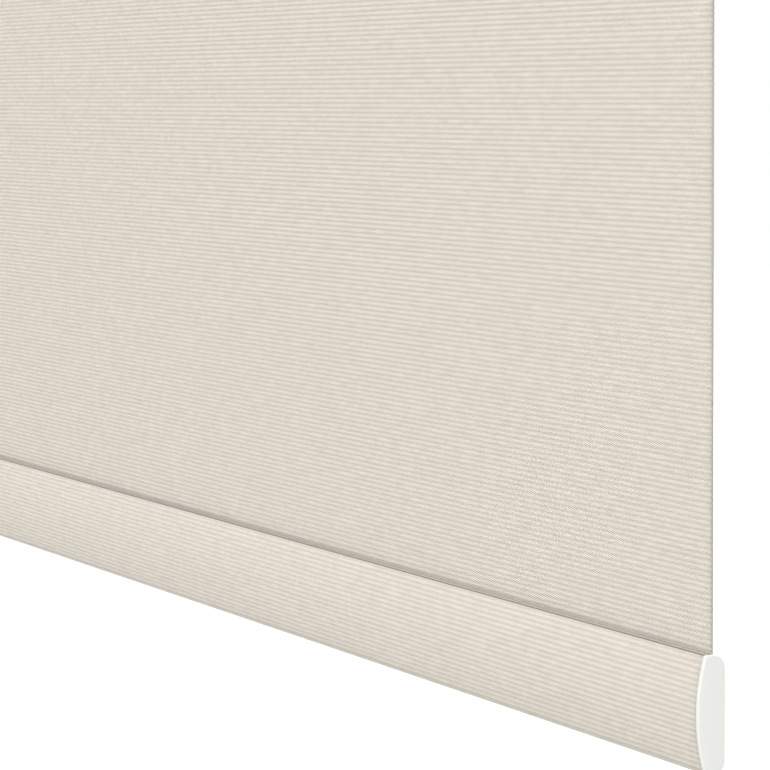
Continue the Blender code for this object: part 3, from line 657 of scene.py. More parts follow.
def grained(name: str, groups: Groups, low: Colour, high: Colour, relief: float,
            **sizes: float) -> tuple[Material, NodeTree, bpy.types.Node, bpy.types.Node]:
    """A material whose colour follows the slow marks and whose height follows the grain.

    Args:
        name: the material's name.
        groups: the shared shader groups.
        low: colour where the marks are low.
        high: colour where they are high.
        relief: height of the grain.
        sizes: inputs of the grain group.
    Returns:
        the material, its tree, its Principled shader and its grain node.
    """
    material, shader = new_material(name)
    tree = material.node_tree
    grain = place_group(tree, groups.grain, **sizes)
    tree.links.new(mix_colours(tree, grain.outputs["Marks"], low, high),
                   shader.inputs["Base Color"])
    bump_into(tree, shader, grain.outputs["Grain"], relief)
    return material, tree, shader, grain


def vary_roughness(tree: NodeTree, shader: bpy.types.Node, by: Socket, lowest: float,
                   spread: float) -> None:
    """Roughness from lowest to lowest plus spread, by a value from 0 to 1."""
    rough = math_node(tree, "MULTIPLY_ADD", by, spread, lowest)
    tree.links.new(rough, shader.inputs["Roughness"])


# ------------------------------------------------------------------ finishes
@dataclass(frozen=True)
class ClothFinish:
    """Cream polyester cloth woven with ribs across the blind."""

    name: str
    rib_pitch: float
    half_width: float
    # painted shade: the rib valleys are painted darker than the ridges; the yarn's own tone also runs between
    # these two
    shaded_valley_tone: Colour = (0.634, 0.576, 0.499)
    lit_ridge_tone: Colour = (0.872, 0.818, 0.728)
    # colour of full painted shade, in the crease, on covered turns and at cut edges
    shade_paint: Colour = (0.205, 0.195, 0.175)
    thread_pitch: float = 1.5 * MM
    slub: float = 1.6
    thread: float = 0.66
    lint: float = 2.4
    relief: float = 0.10 * MM

    def material(self, groups: Groups) -> Material:
        """Colour from painted rib shade, threads and painted shade at folds and cut edges, height from threads,
        and a soft sheen.
        """
        material, shader = new_material(self.name)
        tree = material.node_tree
        weave = place_group(tree, groups.weave, rib_pitch=self.rib_pitch,
                            thread_pitch=self.thread_pitch, slub=self.slub,
                            thread=self.thread, lint=self.lint, half_width=self.half_width)
        open_colour = mix_colours(tree, weave.outputs["Shade"], self.shaded_valley_tone, self.lit_ridge_tone)
        # painted shade: the colour darkens towards the shade colour by the Shadow output
        colour = mix_colours(tree, weave.outputs["Shadow"], open_colour, self.shade_paint)
        tree.links.new(colour, shader.inputs["Base Color"])
        bump_into(tree, shader, weave.outputs["Height"], self.relief)
        set_inputs(shader, {"Roughness": 0.85, "Specular IOR Level": 0.25,
                            "Sheen Weight": 0.12, "Sheen Roughness": 0.5})
        return material


@dataclass(frozen=True)
class MouldedFinish:
    """Moulded plastic: spark-eroded grain and a faint unevenness in colour and gloss."""

    name: str
    colour: Colour
    roughness: float = 0.38
    unevenness: float = 0.02
    grain_size: float = 0.25 * MM
    relief: float = 0.012 * MM
    gloss_spread: float = 0.12
    coat: float = 0.0

    def material(self, groups: Groups) -> Material:
        """Colour and roughness vary with slow marks, height with the grain."""
        darker = tuple(channel * (1.0 - self.unevenness) for channel in self.colour)
        material, tree, shader, grain = grained(self.name, groups, darker, self.colour,
                                                self.relief, grain_size=self.grain_size)
        vary_roughness(tree, shader, grain.outputs["Marks"],
                       self.roughness - self.gloss_spread / 2, self.gloss_spread)
        set_inputs(shader, {"Coat Weight": self.coat})
        return material


@dataclass(frozen=True)
class MetalFinish:
    """Bare or plated metal with drawn streaks and a varying gloss."""

    name: str
    bright: Colour
    dull: Colour
    roughness: float = 0.32
    stretch: float = 1.0
    grain_size: float = 0.3 * MM
    mark_size: float = 5 * MM
    relief: float = 0.006 * MM
    gloss_spread: float = 0.25
    gloss_drop: float = 0.12           # lowest roughness is this far under the usual one

    def material(self, groups: Groups) -> Material:
        """Colour follows the marks, roughness and height follow the grain."""
        material, tree, shader, grain = grained(
            self.name, groups, self.dull, self.bright, self.relief,
            grain_size=self.grain_size, mark_size=self.mark_size, stretch=self.stretch)
        vary_roughness(tree, shader, grain.outputs["Grain"],
                       self.roughness - self.gloss_drop, self.gloss_spread)
        set_inputs(shader, {"Metallic": 1.0})
        return material


@dataclass(frozen=True)
class PaintFinish:
    """White powder coat with its fine orange peel."""

    name: str
    colour: Colour = (0.80, 0.80, 0.77)
    roughness: float = 0.42
    unevenness: float = 0.04
    peel_size: float = 0.9 * MM
    mark_size: float = 15 * MM
    relief: float = 0.03 * MM

    def material(self, groups: Groups) -> Material:
        """Orange peel as height, with a light unevenness in colour."""
        darker = tuple(channel * (1.0 - self.unevenness) for channel in self.colour)
        material, _, shader, _ = grained(self.name, groups, darker, self.colour, self.relief,
                                         grain_size=self.peel_size, mark_size=self.mark_size)
        set_inputs(shader, {"Roughness": self.roughness})
        return material


class Finishes:
    """All finishes of the blind, made once and looked up by slot."""

    def __init__(self, rib_pitch: float, half_width: float) -> None:
        """Make every material.

        Args:
            rib_pitch: the cloth's rib spacing in metres.
            half_width: half of the cloth's width.
        """
        finishes = {
            Slot.FABRIC: ClothFinish("ribbed_cloth", rib_pitch, half_width),
            Slot.CAP: MouldedFinish("cap_plastic", (0.846, 0.856, 0.822), 0.42),
            Slot.COVER: MouldedFinish("cover_plastic", (0.82, 0.82, 0.79), 0.30, coat=0.2),
            Slot.NYLON: MouldedFinish("nylon", (0.78, 0.75, 0.66), 0.45, 0.05),
            Slot.GREY: MouldedFinish("grey_plastic", (0.20, 0.21, 0.22), 0.48, 0.12),
            Slot.ALUMINIUM: MetalFinish("mill_aluminium", (0.83, 0.84, 0.85),
                                        (0.66, 0.67, 0.69), 0.34, 12.0),
            Slot.ZINC: MetalFinish("zinc_plate", (0.72, 0.73, 0.74), (0.50, 0.51, 0.54), 0.30),
            Slot.SPRING: MetalFinish("spring_wire", (0.42, 0.41, 0.40), (0.24, 0.24, 0.25),
                                     0.34),
            Slot.PAINT: PaintFinish("white_paint"),
        }
        groups = Groups()
        self.by_slot: dict[Slot, Material] = {slot: finish.material(groups)
                                              for slot, finish in finishes.items()}

    def __getitem__(self, slot: Slot) -> Material:
        """The material of a slot."""
        return self.by_slot[slot]


# ------------------------------------------------------------------ cloth
@dataclass(frozen=True)
class RibbedCloth:
    """The woven cloth: its thickness, ribs and slow unevenness."""

    thickness: float = 0.52 * MM
    rib_pitch: float = 1.7 * MM
    rib_relief: float = 0.060 * MM
    sharpening: float = 0.18           # second harmonic of a rib
    steps_per_rib: int = 6
    sway: float = 0.15 * MM
    swell: float = 0.16
    swell_across: Pair = (9.1, 5.3)    # radians a metre
    swell_down: Pair = (31.0, -47.0)
    edge_band: float = 0.4 * MM

    @property
    def step(self) -> float:
        """Spacing of the rows of points down the cloth."""
        return self.rib_pitch / self.steps_per_rib

    def bulge(self, across: Array, down: Array) -> Array:
        """How far each face stands out from the cloth's half thickness.

        A cosine of the distance down over the rib pitch, sharpened by its second
        harmonic, times a slow swell across and down the cloth.
        """
        turn = 2 * math.pi * down / self.rib_pitch
        first, second = (across * a + down * d
                         for a, d in zip(self.swell_across, self.swell_down))
        swell = 1.0 + self.swell * np.sin(first) * np.cos(second)
        return self.rib_relief * swell * (np.cos(turn) + self.sharpening * np.cos(2 * turn))

    def columns(self, half_width: float, count: int) -> Array:
        """Places across the cloth: even, with one more just inside each cut edge."""
        inner = np.linspace(-half_width + self.edge_band, half_width - self.edge_band, count)
        return np.concatenate([[-half_width], inner, [half_width]])

    def body(self, middle: Array, normal: Array, across: Array, down: Array,
             painted_shade: Array) -> Shape:
        """Cloth either side of a middle surface.

        Args:
            middle: (rows, columns, 3) points midway through the cloth.
            normal: (rows, columns, 3) unit normals.
            across: (columns,) places across.
            down: (rows,) distances down the cloth.
            painted_shade: (rows,) painted shade on each row, by how far it is shut in.
        Returns:
            the closed cloth, with across and down as its surface coordinates.
        """
        u, v = np.meshgrid(across, down)
        offset = (self.thickness / 2 + self.bulge(u, v))[..., None] * normal
        return sheet_between(middle + offset, middle - offset, np.stack([u, v], axis=2), painted_shade)


@dataclass
class HangingCloth:
    """The flat drop from the back of the roll into the bar's slot.

    The drop is one sheet in two pieces. The upper one stays with the wall set over the
    stretch where the real cloth winds on as the blind rises; the lower one stays whole and
    goes up with the bar.
    """

    cloth: RibbedCloth
    columns: int = 12
    crease_painted_shade: float = 0.38         # painted shade where the cloth meets the bar
    crease_shade_reach: float = 0.6 * MM
    least_upper: float = 1.2 * MM      # the upper piece is this much longer than the bar's travel
    split_phase: float = 0.25          # in ribs: the split lies where a rib's side is
    sway_across: float = 14.0          # radians a metre
    sway_start: float = 1.0

    def __post_init__(self) -> None:
        """Read the drop's place and the bar's travel from the frame."""
        self.span = Span.of("fabric_drop")
        lift = next(joint for joint in FRAME["joints"] if joint["name"] == "rail_lift")
        self.travel = float(lift["range_m"][1])

    def make(self, finishes: Finishes) -> list[Object]:
        """Both pieces of the drop.

        Args:
            finishes: the blind's finishes.
        Returns:
            the upper and the lower piece.
        """
        top, bottom = self.span.high[2], self.span.low[2]
        split = top - self.travel - self.least_upper
        ribs = round((split - top) / self.cloth.rib_pitch - self.split_phase) + self.split_phase
        split = top + ribs * self.cloth.rib_pitch
        upper = make_piece("hanging_cloth", self.stretch(top, split), finishes,
                           Body.WALL_SET, Slot.FABRIC, "fabric_drop")
        lower = make_piece("hanging_cloth_foot", self.stretch(split, bottom), finishes,
                           Body.BOTTOM_BAR, Slot.FABRIC)
        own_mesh(upper)
        return [upper, lower]

    def stretch(self, high: float, low: float) -> Shape:
        """One stretch of the drop between two heights.

        The middle surface is a plane with a faint sway: a slow sine across the blind that
        fades to nothing at the roll and at the bar. Painted shade falls off exponentially with
        the height above the bar.
        """
        rows = int(round((high - low) / self.cloth.step)) + 1
        z = np.linspace(high, low, rows)
        down = self.span.high[2] - z
        across = self.cloth.columns(self.span.size[0] / 2, self.columns)
        u, v = np.meshgrid(across, z)
        share = (v - self.span.low[2]) / self.span.size[2]
        sway = (self.cloth.sway * np.sin(u * self.sway_across + self.sway_start)
                * np.sin(np.pi * share) ** 2)
        middle = np.stack([u, self.span.middle[1] + sway, v], axis=2)
        normal = np.zeros_like(middle)
        normal[..., 1] = -1.0
        # painted shade in the crease above the bar
        above = np.maximum(z - Span.of("rail_end_cap_right").high[2], 0.0)
        painted_shade = self.crease_painted_shade * np.exp(-above / self.crease_shade_reach)
        return self.cloth.body(middle, normal, across, down, painted_shade)


@dataclass
class WoundCloth:
    """The spare turns on the roller, wound in a spiral that ends where the drop begins."""

    cloth: RibbedCloth
    turns: float = 2.5
    columns: int = 8
    settle: float = 0.14 * MM          # the first turn lies this much tighter
    settle_turn: float = 0.06          # and is down in this share of a turn
    shade_paint: float = 0.4               # painted shade of the covered turns

    def make(self, finishes: Finishes) -> Object:
        """The spiral: its radius shrinks evenly with the angle, from the drop inwards.

        It also settles by a little soon after the drop, exponentially with the angle, so
        that the cloth's end clears the hanging cloth when the roller turns.

        Args:
            finishes: the blind's finishes.
        Returns:
            the wound cloth.
        """
        roll, drop = Span.of("fabric_roll"), Span.of("fabric_drop")
        axis_y, axis_z = roll.middle[1], roll.middle[2]
        outer = drop.middle[1] - axis_y
        inner = Span.of("roller_tube").size[1] / 2 + self.cloth.thickness
        total = 2 * math.pi * self.turns
        rows = int(total * (outer + inner) / 2 / self.cloth.step)
        angle = np.linspace(0.0, total, rows)
        radius = outer + (inner + self.settle - outer) * angle / total
        radius -= self.settle * (1.0 - np.exp(-angle / (2 * math.pi * self.settle_turn)))
        down = -np.concatenate([[0.0], np.cumsum(np.diff(angle) * radius[1:])])
        across = self.cloth.columns(roll.size[0] / 2, self.columns)
        ray = np.stack([np.zeros(rows), np.cos(angle), np.sin(angle)], axis=1)
        centre = np.array([0.0, axis_y, axis_z])
        middle = (centre + ray * radius[:, None])[:, None, :] + np.stack(
            [across, 0 * across, 0 * across], axis=1)[None, :, :]
        normal = np.repeat(ray[:, None, :], len(across), axis=1)
        # painted shade on the covered turns, growing over the first turn
        painted_shade = np.clip(angle / (2 * math.pi), 0.0, 1.0) * self.shade_paint
        piece = make_piece("wound_cloth", self.cloth.body(middle, normal, across, down, painted_shade),
                           finishes, Body.ROLLER, Slot.FABRIC, "fabric_roll")
        return piece


# ------------------------------------------------------------------ bottom bar
@dataclass
class BarSection:
    """The bar's cross-section: bowed front, flat top and bottom, round back corners."""

    height: float
    depth: float
    slot_setback: float
    slot_width: float = 1.4 * MM
    bow_radius: float = 61.35 * MM
    front_fillet: float = 0.7 * MM
    least_fillet: float = 0.15 * MM
    back_radius: float = 4.0 * MM
    back_steps: int = 24
    fillet_steps: int = 8
    bow_steps: int = 90

    def outline(self, inset: float, closed: bool) -> Array:
        """The section drawn inside the cap's own outline by an inset.

        From the slot's back edge round the back, the bottom and the bow to its front
        edge, as (depth from the slot's middle, height above the bar's middle).

        Args:
            inset: how far inside.
            closed: a whole loop without a slot.
        Returns:
            (n, 2) points.
        """
        fillet = max(self.front_fillet - inset, self.least_fillet)
        bow = self.bow_radius - inset
        corner_z = self.height / 2 - inset - fillet
        corner_d = self.bow_radius - math.sqrt((bow - fillet) ** 2 - corner_z ** 2)
        lean = math.degrees(math.atan2(corner_z, self.bow_radius - corner_d))
        back = self.back_radius - inset
        back_d, back_z = self.depth - self.back_radius, self.height / 2 - self.back_radius
        slot_back = self.slot_setback + self.slot_width / 2
        start = 90.0 if closed else math.degrees(math.acos((slot_back - back_d) / back))
        parts = [arc_points((back_d, back_z), back, start, 0.0, self.back_steps),
                 arc_points((back_d, -back_z), back, 0.0, -90.0, self.back_steps),
                 arc_points((corner_d, -corner_z), fillet, -90.0, -180.0 + lean,
                            self.fillet_steps),
                 arc_points((self.bow_radius, 0.0), bow, 180.0 + lean, 180.0 - lean,
                            self.bow_steps)[1:-1],
                 arc_points((corner_d, corner_z), fillet, 180.0 - lean, 90.0,
                            self.fillet_steps)]
        if not closed:
            parts.append(np.array([[self.slot_setback - self.slot_width / 2,
                                    self.height / 2 - inset]]))
        return np.concatenate(parts) - [self.slot_setback, 0.0]


@dataclass
class BottomBar:
    """The wrapped bar with its two end caps."""

    cloth: RibbedCloth
    cap_proud: float = 0.2 * MM
    tuck: float = 0.55 * MM            # wrap's edge turned down into the slot
    cap_edge: float = 0.28 * MM        # rounding of the cap's rim
    cap_seat: float = 0.05 * MM        # cap to the wrap's cut edge
    cap_steps: int = 6
    plug_below: float = 3.2 * MM       # the plug's place inside the bar's section
    plug_top: float = 3.5 * MM
    plug_front: float = -2.2 * MM
    plug_behind: float = 2.6 * MM
    plug_corner: float = 0.5 * MM
    plug_lead: float = 1.5 * MM
    plug_taper: float = 0.9
    tuck_bend: float = 0.6             # how far the wrap's back edge leans, in tucks
    # painted shade on the wrap: on its flat top and along its bottom edge
    top_shade: float = 1.0
    top_from: float = 0.75             # upward share of the normal where the shade starts
    top_full: float = 0.95
    bottom_shade: float = 0.44
    bottom_reach: float = 1.2 * MM
    columns: int = 14

    def __post_init__(self) -> None:
        """Read the bar's section from the frame."""
        self.cap = Span.of("rail_end_cap_right")
        self.drop = Span.of("fabric_drop")
        self.section = BarSection(self.cap.size[2], self.cap.size[1],
                                  self.drop.middle[1] - self.cap.low[1])
        self.middle = np.array([0.0, self.drop.middle[1], self.cap.middle[2]])

    def make(self, finishes: Finishes) -> list[Object]:
        """The wrap and both caps; the extrusion and the hem rod are dressed."""
        pieces = [self.make_wrap(finishes)]
        for side in Side:
            pieces.append(self.make_cap(side, finishes))
        return pieces

    def make_wrap(self, finishes: Finishes) -> Object:
        """Cloth that follows the bar's section, with both edges turned into the slot."""
        line = self.section.outline(self.cap_proud + self.cloth.thickness / 2
                                    + self.cloth.rib_relief, closed=False)
        tuck = self.tuck
        first = line[0] + [0.0, -tuck]
        last = line[-1] + [0.0, -tuck]
        line[0] += [tuck * self.tuck_bend, 0.0]
        front_turn = arc_points((last[0] - tuck, last[1]), tuck, 90.0, 0.0,
                                self.section.fillet_steps)
        line = np.concatenate([first[None, :], line, front_turn])
        points, length = resample(line, self.cloth.step)
        normal = -line_normals(points)
        across = self.cloth.columns(self.drop.size[0] / 2, self.columns)
        rows, count = len(points), len(across)
        middle = np.zeros((rows, count, 3))
        middle[..., 0] = across[None, :]
        middle[..., 1:] = points[:, None, :] + self.middle[1:]
        turned_out = np.zeros((rows, count, 3))
        turned_out[..., 1:] = normal[:, None, :]
        # painted shade round the wrap, by its normal and its height
        painted_shade = self.wrap_painted_shade(points, normal)
        wrap = make_piece("bar_wrap", self.cloth.body(middle, turned_out, across, length, painted_shade),
                          finishes, Body.BOTTOM_BAR, Slot.FABRIC, "rail_wrap")
        return wrap

    def wrap_painted_shade(self, points: Array, normal: Array) -> Array:
        """Painted shade round the wrap.

        It is high on the flat top in front of the hanging cloth, and small round the
        bottom edges, where it falls off exponentially with the height above the bottom.
        """
        facing_up = np.clip((normal[:, 1] - self.top_from) / (self.top_full - self.top_from),
                            0.0, 1.0)
        above = points[:, 1] + self.section.height / 2
        return np.maximum(self.top_shade * facing_up,
                          self.bottom_shade * np.exp(-above / self.bottom_reach))

    def make_cap(self, side: Side, finishes: Finishes) -> Object:
        """Flat cap with a rounded rim, and the plug that it pushes into the bar."""
        node = "rail_end_cap_" + side.name.lower()
        span = Span.of(node)
        seat = self.drop.size[0] / 2 + self.cap_seat
        plug_end, face = sorted((abs(span.low[0]), abs(span.high[0])))
        turn = np.radians(np.linspace(0.0, 90.0, self.cap_steps + 1))[1:]
        small = self.cap_edge / 3
        insets = [small, 0.0, *(self.cap_edge * (1 - np.cos(turn)))]
        heights = [seat, seat + small,
                   *(face - self.cap_edge + self.cap_edge * np.sin(turn))]
        flange = stacked([self.section.outline(inset, closed=True) for inset in insets],
                         np.array(heights), side.value, self.middle)
        low, high = self.plug_below - self.section.height / 2, self.plug_top
        front = self.plug_front
        back = self.section.depth - self.section.slot_setback - self.plug_behind
        outline = filleted(np.array([[front, low], [back, low], [back, high], [front, high]]),
                           self.plug_corner)
        plug = stacked([outline * self.plug_taper, outline, outline],
                       np.array([plug_end, plug_end + self.plug_lead, seat + small]),
                       side.value, self.middle)
        return make_piece("bar_end_cap_" + side.name.lower(), flange.joined(plug), finishes,
                          Body.BOTTOM_BAR, Slot.CAP, node)


# ------------------------------------------------------------------ roller
@dataclass
class Roller:
    """The grooved tube, its spline and the springs inside it."""

    wall: float = 1.0 * MM
    groove_width: float = 4.4 * MM
    groove_depth: float = 2.6 * MM
    groove_edge: float = 0.3 * MM
    spring_wire: float = 1.6 * MM
    spring_turns: int = 27
    pin_wire: float = 0.8 * MM
    pin_turns: int = 6
    spline_edge: float = 0.15 * MM
    spline_crown: float = 0.5          # radius of its upper edges, in half widths
    spline_lead: float = 0.2 * MM
    spline_taper: float = 0.98
    segments: int = 150

    def __post_init__(self) -> None:
        """Read the tube's place from the frame."""
        self.tube = Span.of("roller_tube")
        self.axis = (float(self.tube.middle[1]), float(self.tube.middle[2]))

    def make(self, finishes: Finishes) -> list[Object]:
        """Tube, spline and both springs.

        Args:
            finishes: the blind's finishes.
        Returns:
            the new pieces.
        """
        return [self.make_tube(finishes), self.make_spline(finishes),
                self.make_spring("torsion_spring", self.spring_wire, self.spring_turns,
                                 Body.WALL_SET, finishes),
                self.make_spring("idle_pin_spring", self.pin_wire, self.pin_turns,
                                 Body.IDLE_PIN, finishes)]

    def groove_outline(self, radius: float, half: float, floor: float) -> Array:
        """A circle with a flat-bottomed groove at its top and eased groove edges."""
        edge = math.degrees(math.asin(half / radius))
        ring = arc_points((0.0, 0.0), radius, 90.0 + edge, 450.0 - edge, self.segments)
        corners = np.concatenate([ring, [[half, floor], [-half, floor]]])
        radii = [0.0] * len(corners)
        for index in (0, len(ring) - 1, len(ring), len(ring) + 1):
            radii[index] = self.groove_edge
        return filleted(corners, radii, 3)

    def make_tube(self, finishes: Finishes) -> Object:
        """The tube's outside and inside, joined by rings at both ends."""
        radius = float(self.tube.size[1]) / 2
        floor = radius - self.groove_depth
        half = self.groove_width / 2
        outside = self.groove_outline(radius, half, floor)
        inside = self.groove_outline(radius - self.wall, half + self.wall, floor - self.wall)
        end = float(self.tube.high[0])
        rings = [inside, outside, outside, inside, inside]
        levels = [-end, -end, end, end, -end]
        points = np.stack([np.stack([np.full(len(o), x), o[:, 0] + self.axis[0],
                                     o[:, 1] + self.axis[1]], axis=1)
                           for o, x in zip(rings, levels)])
        shape = Shape(points.reshape(-1, 3), grid_faces(5, len(outside), False, True))
        return make_piece("tube", shape, finishes, Body.ROLLER, Slot.ALUMINIUM, "roller_tube")

    def make_spline(self, finishes: Finishes) -> Object:
        """The strip that clamps the cloth in the groove, with a rounded top."""
        span = Span.of("tube_spline")
        half, tall = span.size[1] / 2, span.size[2]
        crown = half * self.spline_crown
        outline = filleted(np.array([[-half, 0.0], [half, 0.0], [half, tall], [-half, tall]]),
                           [self.spline_edge, self.spline_edge, crown, crown])
        end = outline * self.spline_taper
        low, high = span.low[0], span.high[0]
        shape = stacked([end, outline, outline, end],
                        np.array([low, low + self.spline_lead, high - self.spline_lead, high]),
                        1.0, np.array([0.0, span.middle[1], span.low[2]]))
        return make_piece("spline", shape, finishes, Body.ROLLER, Slot.NYLON, "tube_spline")

    def make_spring(self, node: str, wire: float, turns: int, body: Body,
                    finishes: Finishes) -> Object:
        """A spring wound to fill its CAD box."""
        span = Span.of(node)
        shape = helix(float(span.low[0]), float(span.high[0]), (span.size[1] - wire) / 2,
                      wire, turns, (float(span.middle[1]), float(span.middle[2])))
        return make_piece("wound_" + node, shape, finishes, body, Slot.SPRING, node)


# ------------------------------------------------------------------ brackets and covers
@dataclass
class EndCovers:
    """Shallow trays over the brackets, with soft outer edges and two pegs."""

    wall: float = 1.4 * MM
    edge: float = 1.6 * MM
    front_corner: float = 9.2 * MM
    back_corner: float = 4.0 * MM
    least_corner: float = 0.4 * MM
    corner_steps: int = 16
    inner_round: float = 0.5 * MM
    rim_round: float = 0.3 * MM
    peg_radius: float = 2.0 * MM
    peg_lead: float = 0.4 * MM
    peg_inset: float = 8.0 * MM
    peg_sides: int = 32
    plate_gap: float = 0.3 * MM
    steps: int = 8

    def make(self, finishes: Finishes) -> list[Object]:
        """Both covers."""
        return [self.make_cover(side, finishes) for side in Side]

    def outline(self, span: Span, inset: float) -> Array:
        """The tray's outline drawn inside its box, as (y, z)."""
        low, high = span.low[1:] + inset, span.high[1:] - inset
        front = max(self.front_corner - inset, self.least_corner)
        back = max(self.back_corner - inset, self.least_corner)
        corners = np.array([[low[0], low[1]], [high[0], low[1]], [high[0], high[1]],
                            [low[0], high[1]]])
        return filleted(corners, [front, back, back, front], self.corner_steps)

    def make_cover(self, side: Side, finishes: Finishes) -> Object:
        """Rings from the tray's inside over its rim and round the outer edge to its face.

        The outer edge is a quarter of an ellipse: inset edge (1 - cos), rise edge sin.
        """
        name = "cover_" + side.name.lower()
        span = Span.of(name)
        start, face = sorted((abs(span.low[0]), abs(span.high[0])))
        plate = Span.of("bracket_" + side.name.lower())
        rim = max(abs(plate.low[0]), abs(plate.high[0])) + self.plate_gap
        floor, soft, bend = face - self.wall, self.rim_round, self.inner_round
        turn = np.radians(np.linspace(0.0, 90.0, self.steps + 1))
        insets = [self.wall + bend, self.wall, self.wall, self.wall - soft, soft, 0.0,
                  *(self.edge * (1.0 - np.cos(turn)))]
        heights = [floor, floor - bend, rim + soft, rim, rim, rim + soft,
                   *(face - self.edge + self.edge * np.sin(turn))]
        tray = stacked([self.outline(span, value) for value in insets], np.array(heights),
                       side.value, np.zeros(3))
        peg_end = face - self.wall / 2
        for peg in self.peg_places(plate):
            profile = np.array([[start, 0.0], [start, self.peg_radius - self.peg_lead],
                                [start + self.peg_lead, self.peg_radius],
                                [peg_end, self.peg_radius], [peg_end, 0.0]])
            profile[:, 0] *= side.value
            tray = tray.joined(turned(profile, self.peg_sides, peg))
        return make_piece("end_" + name, tray, finishes, Body.WALL_SET, Slot.COVER, name)

    def peg_places(self, plate: Span) -> list[Pair]:
        """(y, z) of the pegs, near the side plate's lower front and upper back."""
        return [(float(plate.low[1]) + self.peg_inset, float(plate.low[2]) + self.peg_inset),
                (-self.peg_inset, float(plate.high[2]) - self.peg_inset)]


@dataclass(frozen=True)
class Easing:
    """Machined or moulded nodes that are dressed as copies with eased edges."""

    nodes: tuple[str, ...]
    body: Body
    slot: Slot
    width: float


EASED: tuple[Easing, ...] = (
    Easing(("bracket_left", "bracket_right"), Body.WALL_SET, Slot.PAINT, 0.30 * MM),
    Easing(("spade_keeper",), Body.KEEPER, Slot.ZINC, 0.18 * MM),
    Easing(("spade_spindle",), Body.WALL_SET, Slot.ZINC, 0.18 * MM),
    Easing(("keeper_rivet",), Body.WALL_SET, Slot.ZINC, 0.12 * MM),
    Easing(("idle_pin",), Body.IDLE_PIN, Slot.ZINC, 0.25 * MM),
    Easing(("spring_end_cup",), Body.ROLLER, Slot.ZINC, 0.20 * MM),
    Easing(("idle_end_plug", "spring_anchor_plug"), Body.ROLLER, Slot.GREY, 0.20 * MM),
    Easing(("bearing_bush",), Body.ROLLER, Slot.NYLON, 0.12 * MM),
    Easing(("ratchet_wheel",), Body.WALL_SET, Slot.ZINC, 0.12 * MM),
    Easing(("pawl_upper",), Body.PAWL_UPPER, Slot.ZINC, 0.12 * MM),
    Easing(("pawl_lower",), Body.PAWL_LOWER, Slot.ZINC, 0.12 * MM),
    Easing(("pawl_pin_upper", "pawl_pin_lower"), Body.ROLLER, Slot.ZINC, 0.12 * MM),
    Easing(("screw_left_upper", "screw_left_lower", "screw_right_upper",
            "screw_right_lower"), Body.WALL_SET, Slot.ZINC, 0.04 * MM),
)


def eased_copy(node: str, easing: Easing, finishes: Finishes) -> Object:
    """A CAD solid with its flat faces made whole and its edges eased.

    Args:
        node: the CAD node's name.
        easing: its row in the list above.
        finishes: the blind's finishes.
    Returns:
        the new object.
    """
    work = bmesh.new()
    work.from_mesh(FRAME["nodes"][node].data)
    bmesh.ops.remove_doubles(work, verts=work.verts, dist=1e-6)
    bmesh.ops.dissolve_limit(work, angle_limit=math.radians(FLAT_WITHIN),
                             verts=work.verts, edges=work.edges)
    bmesh.ops.recalc_face_normals(work, faces=work.faces)
    mesh = bpy.data.meshes.new(node + "_eased")
    work.to_mesh(mesh)
    work.free()
    piece = finish_piece(mesh, finishes, easing.body, easing.slot, (node,), EASED_FROM)
    ease = piece.modifiers.new("Ease", "BEVEL")
    ease.width = easing.width
    ease.segments = 2
    ease.limit_method = "ANGLE"
    ease.angle_limit = math.radians(EASED_FROM)
    ease.use_clamp_overlap = True
    ease.harden_normals = True
    return piece


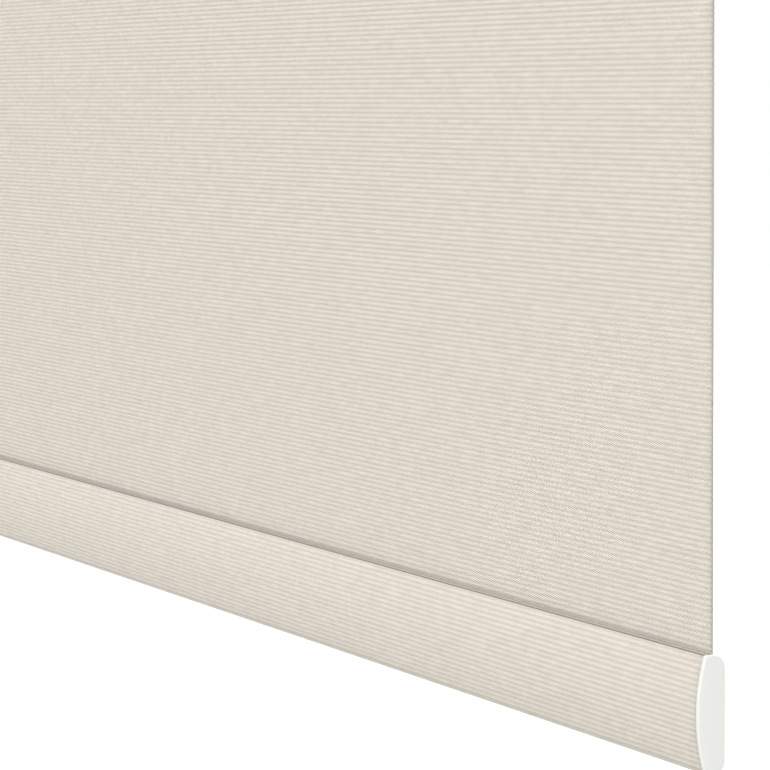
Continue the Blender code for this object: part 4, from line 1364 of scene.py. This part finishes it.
# ------------------------------------------------------------------ studio
@dataclass
class Studio:
    """Pale floor, soft lights and the camera."""

    lens: float = 158.96
    camera_from_cap: Triple = (0.8493, -0.5190, 0.1857)
    camera_turn: Triple = (84.9991, 0.3628, 63.8378)
    floor_gap: float = 0.25
    floor_reach: float = 6.0
    floor_colour: Colour = (0.55, 0.55, 0.55)
    floor_glow: Pair = (0.06, 0.75)    # as light, and what the camera sees on top
    ambient: float = 0.55

    def make(self) -> None:
        """Camera first, then floor, world and lights."""
        self.make_camera()
        self.make_floor()
        self.make_world()
        self.add_light("key", (0.3, -3.4, 3.2), (0.1, 0.0, -0.7), 2.3, 168.0)
        self.add_light("side", (3.0, -0.5, -0.4), (0.3, 0.0, -0.8), 1.0, 24.0)
        self.add_light("back", (-1.2, 3.2, 2.0), (0.0, 0.0, -0.4), 2.3, 90.0)

    def make_camera(self) -> None:
        """A long lens close to the bar's right end."""
        cap = Span.of("rail_end_cap_right")
        corner = np.array([cap.high[0], cap.low[1], cap.middle[2]])
        camera = bpy.data.objects.new("camera", bpy.data.cameras.new("camera"))
        camera.data.lens = self.lens
        camera.data.sensor_width = 36.0
        camera.data.clip_start = 0.01
        camera.data.clip_end = 50.0
        camera.location = Vector(corner + np.array(self.camera_from_cap))
        camera.rotation_euler = [math.radians(value) for value in self.camera_turn]
        bpy.context.collection.objects.link(camera)
        bpy.context.scene.camera = camera

    def make_floor(self) -> None:
        """A wide pale floor below the blind."""
        low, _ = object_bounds()
        reach, height = self.floor_reach, low[2] - self.floor_gap
        mesh = bpy.data.meshes.new("floor")
        mesh.from_pydata([(x, y, height) for x, y in ((-reach, -reach), (reach, -reach),
                                                      (reach, reach), (-reach, reach))],
                         [], [(0, 1, 2, 3)])
        material, shader = new_material("pale_floor")
        tree = material.node_tree
        set_inputs(shader, {"Base Color": (*self.floor_colour, 1.0), "Roughness": 0.9,
                            "Emission Color": WHITE})
        seen = tree.nodes.new("ShaderNodeLightPath").outputs["Is Camera Ray"]
        glow, shown = self.floor_glow
        tree.links.new(math_node(tree, "MULTIPLY_ADD", seen, shown, glow),
                       shader.inputs["Emission Strength"])
        mesh.materials.append(material)
        floor = bpy.data.objects.new("floor", mesh)
        bpy.context.collection.objects.link(floor)
        floor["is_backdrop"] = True

    def make_world(self) -> None:
        """White surroundings: full white to the eye, softer as light."""
        world = bpy.data.worlds.new("surroundings")
        world.use_nodes = True
        tree = world.node_tree
        sky, seen = tree.nodes["Background"], tree.nodes.new("ShaderNodeBackground")
        set_inputs(sky, {"Strength": self.ambient, "Color": WHITE})
        set_inputs(seen, {"Strength": 1.0, "Color": WHITE})
        path = tree.nodes.new("ShaderNodeLightPath")
        mix = tree.nodes.new("ShaderNodeMixShader")
        for index, output in enumerate((path.outputs["Is Camera Ray"], sky.outputs[0],
                                        seen.outputs[0])):
            tree.links.new(output, mix.inputs[index])
        tree.links.new(mix.outputs[0], tree.nodes["World Output"].inputs["Surface"])
        bpy.context.scene.world = world
        bpy.context.scene.view_settings.view_transform = "Standard"

    def add_light(self, name: str, place: Triple, target: Triple, size: float,
                  power: float) -> None:
        """One square soft light that faces a target."""
        light = bpy.data.lights.new(name, "AREA")
        light.size = size
        light.energy = power
        lamp = bpy.data.objects.new(name, light)
        lamp.location = place
        facing = Vector(target) - Vector(place)
        lamp.rotation_euler = facing.to_track_quat("-Z", "Y").to_euler()
        bpy.context.collection.objects.link(lamp)


def dress_nodes(frame: dict, finishes: Finishes) -> None:
    """Give every CAD node that still shows its finish, by the record's slots."""
    slots = {row["node"]: row["material_slot"] for row in frame["record"]["subparts"]}
    for name, node in frame["nodes"].items():
        if node.hide_render:
            continue
        node.data.materials.clear()
        node.data.materials.append(finishes[Slot(slots[name])])


def main() -> None:
    """Build the blind, piece by piece, and its studio."""
    logging.basicConfig(level=logging.INFO, format="%(name)s: %(message)s")
    cloth = RibbedCloth()
    finishes = Finishes(cloth.rib_pitch, Span.of("fabric_drop").high[0])
    Studio().make()
    WoundCloth(cloth).make(finishes)
    HangingCloth(cloth).make(finishes)
    BottomBar(cloth).make(finishes)
    Roller().make(finishes)
    EndCovers().make(finishes)
    for easing in EASED:
        for node in easing.nodes:
            eased_copy(node, easing, finishes)
    dress_nodes(FRAME, finishes)


if __name__ == "__main__":
    main()
